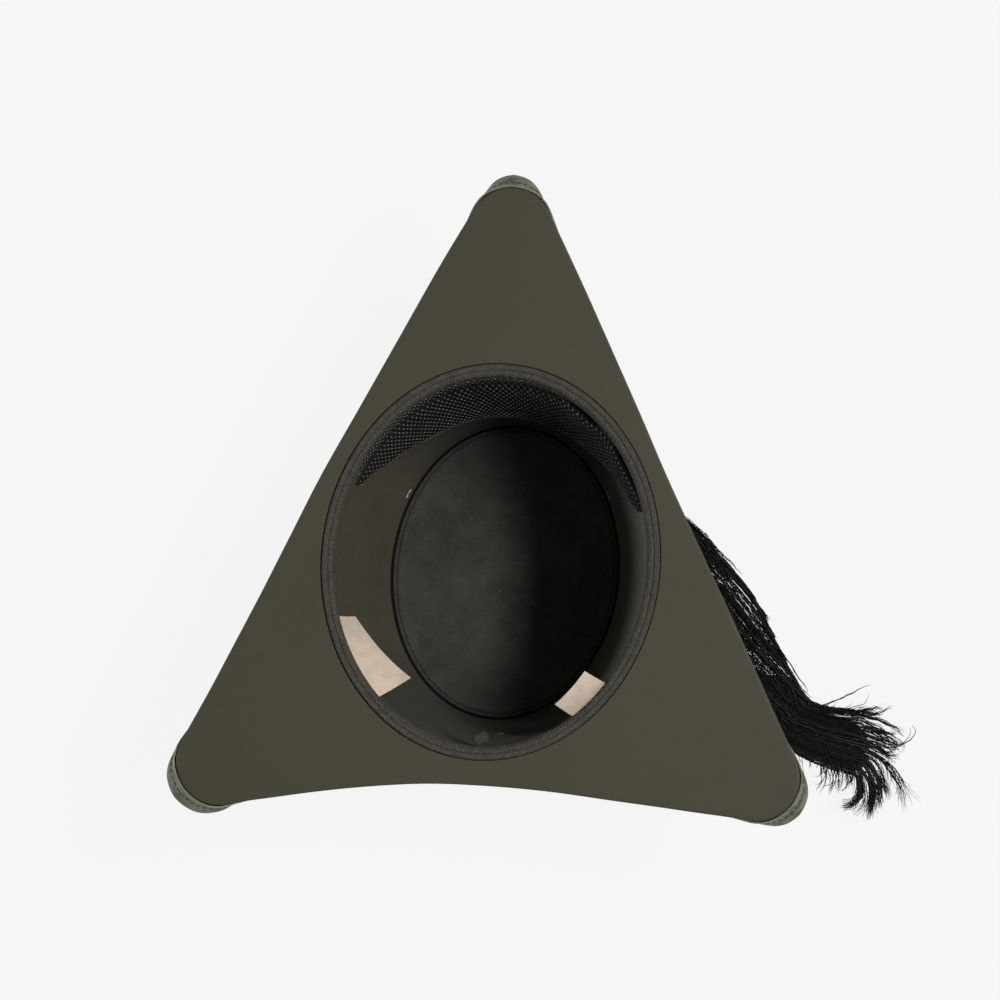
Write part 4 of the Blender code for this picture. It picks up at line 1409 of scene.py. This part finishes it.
def sleeve_frame():
    """The sleeve's middle and the way its mouth faces, down along the wall."""
    heights = (SLEEVE_HEIGHT + SLEEVE_LENGTH / 2, SLEEVE_HEIGHT - SLEEVE_LENGTH / 2)
    off = LEATHER / 2 + 2 * GAP + SLEEVE_RADIUS
    top, foot = (on_wall(SLEEVE_ANGLE, z, off) for z in heights)
    return (top + foot) / 2, (foot - top).normalized()


def sleeve(look):
    """A short leather sleeve, closed at its top, with a turned lip at its mouth."""
    middle, mouth = sleeve_frame()
    across = mouth.orthogonal().normalized()
    proud = mouth.cross(across)
    half = SLEEVE_LENGTH / 2
    lip = 0.0005
    profile = [(-half, SLEEVE_RADIUS - 2 * lip), (-half + lip, SLEEVE_RADIUS - lip / 2)]
    profile += [(-half + 2 * lip, SLEEVE_RADIUS), (half - 3 * lip, SLEEVE_RADIUS)]
    profile += [(half - 2 * lip, SLEEVE_RADIUS - lip / 2), (half - lip, SLEEVE_RADIUS)]
    profile += [(half, SLEEVE_RADIUS - lip), (half, SLEEVE_BORE + lip)]
    profile += [(half - lip, SLEEVE_BORE), (-half + LEATHER, SLEEVE_BORE)]
    rows = []
    for at, radius in profile:
        rows.append([middle + mouth * at + radius * (across * c + proud * s) for c, s in circle(36)])
    finish(skin(rows, capped=True), "plume_sleeve", look, "trim_leather", ["plume_holder"])


def plume_line():
    """Shares of the plume's length, its middle line with half sections, level and proud ways."""
    middle, mouth = sleeve_frame()
    quill = SLEEVE_BORE - GAP
    passing = SIDE_SHORT - PASSING_GAP - PLUME_THICKNESS / 2
    rows = [(*(middle - mouth * (SLEEVE_LENGTH / 2 - LEATHER - GAP)), quill, quill)]
    for past in (0, 2 * SLEEVE_BORE):
        rows.append((*(middle + mouth * (SLEEVE_LENGTH / 2 + past)), quill, quill))
    for out, back, height, width, thickness in PLUME:
        z = passing + (middle.z - passing) * height
        x, y = middle.x + out * PLUME_OUT, middle.y - back * PLUME_BACK
        rows.append((x, y, z, width * PLUME_WIDTH / 2, thickness * PLUME_THICKNESS / 2))
    rows = np.array(rows)
    run = run_along(rows[:, :3])
    table = [(x, *row) for x, row in zip(run / run[-1], rows)]
    ways = np.linspace(0, 1, LINE_POINTS)
    read = np.array([[column(table, way, c) for c in range(1, 6)] for way in ways])
    for _ in range(6):
        read[1:-1] = smoothed(read)
    ahead = unit(np.gradient(read[:, :3], axis=0))
    level = ahead.copy()
    level[:, 2] = 0
    first = int(np.argmax(np.linalg.norm(level, axis=1) > 0.5))
    level[:first] = level[first]
    across = np.cross([0, 0, 1], unit(level))
    across = unit(across - ahead * np.sum(across * ahead, axis=1, keepdims=True))
    return ways, read, across, np.cross(ahead, across)


def in_plume(line, t, a, b):
    """Points at shares t of the plume's length, a across and b proud, in half sections."""
    ways, *parts = line
    spot, across, proud = (
        np.stack([np.interp(t, ways, c) for c in part.T], axis=-1) for part in parts
    )
    return spot[..., :3] + across * (spot[..., 3] * a)[..., None] + proud * (spot[..., 4] * b)[..., None]


LOCKS = (
    # along, across, width, heading, curl, late, length, frizz, limit, weight
    (0.84, 0.98, 0.14, 3, -4, 1.0, 0.80, 1.0, 1.0, 0.9),
    (0.86, 0.88, 0.16, 0, -8, 1.0, 0.62, 0.9, 1.0, 0.9),
    (0.88, 0.70, 0.24, -6, -42, 1.2, 0.96, 0.4, 1.0, 1.3),
    (0.90, 0.52, 0.10, -10, -150, 3.5, 1.05, 0.2, 1.0, 0.5),
    (0.90, 0.38, 0.18, -14, -10, 1.0, 0.72, 0.5, 1.0, 1.3),
    (0.90, 0.20, 0.20, -18, 0, 1.0, 0.84, 0.5, 1.0, 1.4),
    (0.90, 0.03, 0.20, -18, -12, 1.0, 0.84, 0.5, 1.0, 1.4),
    (0.91, -0.12, 0.16, -24, -62, 1.3, 1.38, 0.3, 1.0, 1.0),
    (0.92, -0.20, 0.10, -26, -46, 1.1, 1.38, 0.3, 1.0, 0.5),
    (0.91, -0.31, 0.16, -32, -56, 1.0, 0.94, 0.4, 1.0, 1.0),
    (0.91, -0.44, 0.18, -40, -45, 1.0, 0.98, 0.3, 1.0, 2.2),
    (0.91, -0.56, 0.20, -36, -70, 1.0, 1.08, 0.2, 1.0, 3.2),
    (0.90, -0.68, 0.20, -38, -84, 1.1, 1.14, 0.2, 1.0, 3.4),
    (0.89, -0.81, 0.16, -40, -120, 1.2, 1.08, 0.2, 1.0, 2.4),
    # Short barbs off the lower edge
    (0.800, -0.95, 0.012, -80, 10, 1.0, 0.22, 0.2, 1.0, 0.10),
    (0.828, -0.95, 0.010, -78, -58, 1.3, 0.66, 0.1, 1.0, 0.10),
    (0.840, -0.95, 0.012, -80, 10, 1.0, 0.36, 0.2, 1.0, 0.26),
    (0.852, -0.95, 0.012, -62, -58, 1.0, 0.50, 0.1, 1.0, 0.40),
    (0.866, -0.95, 0.012, -72, -34, 1.0, 0.36, 0.1, 1.0, 0.24),
    (0.895, -0.95, 0.015, -80, 20, 1.0, 0.24, 0.3, 1.0, 0.22),
    # Strands that end along the outer edge
    (0.78, 1.14, 0.24, -30, 6, 1.0, 0.40, 0.1, 1.0, 1.6),
    (0.74, 1.35, 0.22, -48, 10, 1.0, 0.30, 0.1, 1.0, 1.5),
    (0.66, 1.56, 0.20, -58, 0, 1.0, 0.40, 0.1, 1.0, 1.5),
    (0.63, 1.79, 0.20, -60, 0, 1.0, 0.30, 0.1, 1.0, 1.5),
    (0.58, 2.02, 0.20, -60, 0, 1.0, 0.40, 0.1, 1.0, 1.6),
    (0.54, 2.24, 0.22, -60, 0, 1.0, 0.30, 0.1, 1.0, 1.6),
    (0.50, 2.48, 0.22, -58, 0, 1.0, 0.40, 0.1, 1.0, 1.6),
    (0.46, 2.72, 0.22, -54, 0, 1.0, 0.30, 0.1, 1.0, 1.5),
    (0.42, 2.95, 0.20, -50, 0, 1.0, 0.30, 0.1, 1.0, 1.0),
    # Loose hairs outside the mass and over it
    (0.69, 0.92, 0.02, -72, -12, 1.0, 1.70, 0.1, 1.0, 0.07),
    (0.36, 3.02, 0.06, -46, -12, 1.0, 0.60, 0.1, 1.16, 0.07),
    (0.41, 2.80, 0.06, -52, -12, 1.0, 0.60, 0.1, 1.12, 0.07),
    (0.50, 2.30, 0.10, -56, 2, 1.0, 0.50, 0.1, 1.22, 0.14),
    (0.62, 1.70, 0.06, -50, -10, 1.0, 0.90, 0.0, 1.16, 0.06),
    (0.68, 1.30, 0.06, -55, 14, 1.0, 0.80, 0.1, 1.14, 0.10),
    (0.79, 1.00, 0.01, 22, 0, 1.0, 0.84, 0.0, 1.0, 0.03),
    (0.84, 1.00, 0.03, 3, 52, 2.2, 0.92, 0.5, 1.0, 0.09),
    (0.90, 0.93, 0.02, 4, 10, 1.0, 0.52, 0.1, 1.0, 0.04),
    (0.93, 0.02, 0.02, -10, 95, 2.6, 1.10, 0.1, 1.0, 0.05),
)

# How far the strands have still to sweep across on their way to the tail.
SWEEP = (
    # along, to_go
    (0.00, 2.15),
    (0.30, 2.10),
    (0.41, 1.72),
    (0.55, 1.15),
    (0.66, 0.42),
    (0.74, 0.08),
    (0.80, 0.00),
    (1.00, 0.00),
)

EDGE = (
    # along, limit
    (0.00, 0.90),
    (0.30, 0.80),
    (0.38, 0.78),
    (0.50, 0.96),
    (1.00, 0.98),
)


def soft_least(values, limit, soft=0.05):
    """The lesser of each value and its limit, rounded off where they meet."""
    return limit - soft * np.logaddexp(0, (limit - values) / soft)


class Strands:
    """The plume's strands, each from one of a few tufts of its lock that part at their tips."""

    def __init__(self, line, rng):
        table = np.array(LOCKS)
        shared_out = np.round(table[:, 9] / table[:, 9].sum() * STRANDS)
        chosen = np.repeat(np.arange(len(LOCKS)), np.maximum(shared_out, 2).astype(int))
        self.line = line
        self.rng = rng
        self.count = len(chosen)
        columns = table[chosen].T[..., None]
        self.end, self.middle, self.width, self.heading, self.curl = columns[:5]
        self.late, self.length, self.frizz, self.limit, weight = columns[5:]
        tuft = rng.integers(0, 3, self.count)
        self.tufts = rng.normal(0, 1, (4, len(LOCKS), 3))[:, chosen, tuft, None]
        self.apart = TUFT_APART * (tuft[:, None] - 1)
        self.own = np.clip(self.near(0, TUFT_STRAY) + self.apart, -0.70, 0.70)
        self.loose = weight < LOOSE_WEIGHT
        self.early = (rng.random((self.count, 1)) < EARLY_SHARE) & ~self.loose

    def between(self, low, high):
        """A number for each strand, in a column as all its others."""
        return self.rng.uniform(low, high, (self.count, 1))

    def near(self, middle, stray):
        """A number for each strand, about a middle."""
        return self.rng.normal(middle, stray, (self.count, 1))

    def trunks(self):
        """Where the strands run in the plume's body, up to their locks."""
        ways = self.line[0]
        sweep = np.array([column(SWEEP, way, 1) for way in ways])
        edge = np.array([column(EDGE, way, 1) for way in ways])
        cut = np.where(self.early & (self.end > 0.7), self.between(0.0, 0.07), 0)
        self.end = self.end + 0.006 * self.tufts[0] - cut
        # The start is on the shaft, or at the quill for those that leave it first.
        off_shaft = self.middle + self.own * self.width - SHAFT_ACROSS
        start = np.interp(off_shaft, sweep[::-1], ways[::-1])
        start = np.where(off_shaft > SWEEP[1][1], self.between(0.09, 0.16), start)
        start = np.minimum(start, self.end - 0.15)
        t = start + (self.end - start) * np.linspace(0, 1, BODY_STEPS)
        waist, reach, depth = WAIST
        squeeze = 1 - depth * np.exp(-(((t - waist) / reach) ** 2))
        a = self.middle + self.own * self.width * squeeze - np.interp(t, ways, sweep)
        a += 0.02 * np.sin(t * (24 + 5 * self.tufts[1]) + 6 * self.tufts[2])
        a += 0.012 * np.sin(t * self.between(30, 70) + self.between(0, 6.3))
        most = np.interp(t, ways, edge) * self.limit - self.between(0, 0.10)
        a = np.maximum(soft_least(a, most), -0.97)
        room = np.sqrt(np.clip(1 - a**2, 0.03, 1))
        b = self.between(-0.88, 0.88) + 0.05 * np.sin(t * 30 + 6 * self.tufts[3])
        b = b * room * np.clip((t - start) / 0.05, 0.3, 1)
        return in_plume(self.line, t, a, np.where(self.loose, 0.95 * room, b))

    def tails(self, trunk):
        """The locks: curves in plan from the strands' own ends, which close up at their tips."""
        k = np.arange(1, LOCK_STEPS + 1) / LOCK_STEPS
        grow = self.length * LOCK_LENGTH * self.between(0.78, 1.04) * (1 + 0.05 * self.tufts[3])
        grow = np.where(self.early, grow * self.between(0.3, 0.7), grow)
        turned = np.radians(self.heading + 5 * self.tufts[1] + self.near(0, 1.2))
        bent = self.curl + (5 + 0.14 * np.abs(self.curl)) * self.tufts[2] + self.near(0, 3)
        turned = turned + np.radians(bent) * k**self.late
        ripple = (13 + 3 * self.tufts[0] + self.near(0, 1.5)) * k
        ripple += 6 * self.tufts[2] + self.near(0, 0.5)
        turned += (0.20 + 0.80 * self.frizz) * np.sin(ripple) * k
        lock = np.stack([np.cos(turned), np.sin(turned), 0 * turned], axis=-1)
        lock *= (grow / LOCK_STEPS)[..., None]
        tail = trunk[:, -1, None] + np.cumsum(lock, axis=1)
        knot = np.minimum(self.middle + self.apart * self.width, self.limit)
        root = in_plume(self.line, self.end, knot, 0 * self.end)
        close = (trunk[:, -1, None] - root) * (0.75 * k**1.2)[:, None]
        tail -= close * (self.middle <= 1)[..., None]
        tail[..., 2] += (0.0012 * self.tufts[3] + self.near(0, 0.0005)) * k
        tail[..., 2] += 0.0006 * self.frizz * np.cos(ripple) * k
        return tail

    def paths(self):
        """Each strand's whole line, smoothed where its lock begins and then kinked."""
        trunk = self.trunks()
        paths = np.concatenate((trunk, self.tails(trunk)), axis=1)
        paths[:, 1:-1] = smoothed(paths.swapaxes(0, 1)).swapaxes(0, 1)
        kinks = self.rng.normal(0, KINK, paths.shape)
        kinks[:, :2] = 0
        steps = np.arange(BODY_STEPS + LOCK_STEPS)
        kinks *= np.interp(steps, [BODY_STEPS * 0.6, BODY_STEPS], [1, 0.3])[:, None]
        return paths + kinks

    def radii(self):
        """How thick each strand is along its line."""
        spots = [0, 4, BODY_STEPS * 0.7, BODY_STEPS]
        spots += [BODY_STEPS + LOCK_STEPS * 0.6, BODY_STEPS + LOCK_STEPS - 1]
        shape = np.interp(np.arange(BODY_STEPS + LOCK_STEPS), spots, [0.6, 1, 1, 1.35, 1.25, 0.4])
        return HAIR_RADIUS * (self.between(0.75, 1.35) * np.where(self.loose, 1.5, 1)) * shape


def down(look, line):
    """Dark down under the strands, where they lie thickest."""
    rows = []
    for share in shares(24):
        full = math.sin(math.pi * share) ** 0.35
        t = DOWN_START + (DOWN_END - DOWN_START) * share
        row = []
        for i in range(20):
            turn = math.tau * i / 20
            ragged = 1 + 0.05 * math.sin(7 * turn + 11 * share) + 0.04 * math.sin(3 * turn - 29 * share)
            a = (DOWN_MIDDLE + 0.80 * math.cos(turn) * ragged) * full - 0.06 * (1 - full)
            row.append(Vector(in_plume(line, t, a, 0.42 * math.sin(turn) * ragged * full)))
        rows.append(row)
    finish(skin(rows, capped=True), "plume_down", look, "black_plume")


def plume(look, quill_look, rng):
    """A shaft whose strands sweep out to the plume's edge and end in curled locks."""
    line = plume_line()
    strands = Strands(line, rng)
    paths, radii, tones = strands.paths(), strands.radii(), strands.between(0, 1)
    for first, (name, nodes) in enumerate(STRAND_PIECES.items()):
        some = slice(first, None, len(STRAND_PIECES))
        tubes(name, paths[some], radii[some], 3, look, nodes, tones[some])
    down(look, line)
    t = np.linspace(0, SHAFT_END, 60)
    spine = in_plume(line, t, np.interp(t, [0, 0.14, 0.24], [0, 0, SHAFT_ACROSS]), np.zeros(60))
    thick = np.interp(t, [0, 0.1, 0.3, SHAFT_END], [SLEEVE_BORE - GAP, 0.0017, 0.0011, 0.0004])
    tubes("plume_quill", [spine], [thick], 14, quill_look)


# The camera and the light


def camera():
    """The photograph's camera, from where its frame looks straight down."""
    centre = PHOTO_SIZE / 2
    down = Vector((NADIR_PIXEL[0] - centre, NADIR_PIXEL[1] - centre, FOCAL_PIXELS)).normalized()
    z = -down
    level = Vector((math.sin(CAMERA_ROLL), -math.cos(CAMERA_ROLL), 0))
    y = (level - z * level.dot(z)).normalized()
    x = y.cross(z)
    to_image = Matrix((x, y, z)).transposed()
    flip = Matrix(((1, 0, 0), (0, -1, 0), (0, 0, -1)))
    turned = (flip @ to_image).transposed().to_4x4()
    data = bpy.data.cameras.new("camera")
    data.sensor_width = SENSOR
    data.lens = FOCAL_PIXELS / PHOTO_SIZE * SENSOR
    data.clip_end = 50
    made = add("camera", data)
    made.matrix_world = Matrix.Translation(CAMERA_PLACE) @ turned
    bpy.context.scene.camera = made


def sun(name, towards, strength, angle):
    """A soft light from a direction, given as the way from the hat to the light."""
    data = bpy.data.lights.new(name, "SUN")
    data.energy = strength
    data.angle = math.radians(angle)
    made = add(name, data)
    made.rotation_mode = "QUATERNION"
    made.rotation_quaternion = Vector(towards).to_track_quat("Z", "Y")


def strip(name, towards, away, size, strength):
    """A long soft light at a distance, with its length along Y and as strong as a sun there."""
    data = bpy.data.lights.new(name, "AREA")
    data.shape = "RECTANGLE"
    data.size, data.size_y = size
    data.energy = strength * math.pi * away**2
    z = Vector(towards).normalized()
    x = Vector((0, 1, 0)).cross(z).normalized()
    turned = Matrix((x, z.cross(x), z)).transposed().to_4x4()
    add(name, data).matrix_world = Matrix.Translation(z * away) @ turned


def studio():
    """A pale floor, a key from the wearer's left, a low fill from the right and a dim room."""
    bpy.context.scene.view_settings.view_transform = "Standard"
    mesh = bmesh.new()
    bmesh.ops.create_grid(mesh, x_segments=1, y_segments=1, size=FLOOR_REACH)
    floor = add("floor", taken(mesh, "floor"))
    floor.location.z = -FLOOR_DROP
    floor.data.materials.append(floor_paint().material)
    strip("key", **KEY_LIGHT)
    sun("fill", **FILL_LIGHT)
    world = bpy.data.worlds.new("room")
    bpy.context.scene.world = world
    world.use_nodes = True
    tree = world.node_tree
    back = tree.nodes["Background"]
    seen = tree.nodes.new("ShaderNodeLightPath").outputs["Is Camera Ray"]
    mix = tree.nodes.new("ShaderNodeMapRange")
    tree.links.new(seen, mix.inputs["Value"])
    mix.inputs[3].default_value = ROOM_LIT
    mix.inputs[4].default_value = ROOM_SEEN
    tree.links.new(mix.outputs["Result"], back.inputs["Strength"])
    back.inputs["Color"].default_value = (1, 1, 1, 1)


def build():
    """Makes every piece, in the order in which they draw random numbers."""
    rng = np.random.default_rng(SEED)
    camera()
    studio()
    strap = binding_leather()
    crown_wall(wall_suede())
    pinhole_edges(raw_edge())
    crown_tip(tip_suede())
    tip_stitches(thread("pale_thread", (0.085, 0.080, 0.067)), rng)
    brim(smooth_leather())
    binding(strap, thread("dark_thread", (0.036, 0.035, 0.028)), rng)
    sweatband(rim_leather())
    rim_stitches(thread("rim_thread", (0.125, 0.116, 0.096)), rng)
    forehead_pad(foam_cloth())
    # Pale knots on a dark net: painted glints.
    knots = net_thread("net_knot_glint", (0.27, 0.25, 0.215), 0.45)
    forehead_net(net_thread("net_thread", (0.038, 0.037, 0.031), 0.5), knots)
    ribbon = woven_satin()
    for name in LABELS:
        label(name, ribbon)
    tab(rim_leather("cord_leather", 0.75))
    bar_tack(thread("tack_thread", (0.34, 0.31, 0.25)))
    sleeve(strap)
    plume(feather(), horn(), rng)


build()
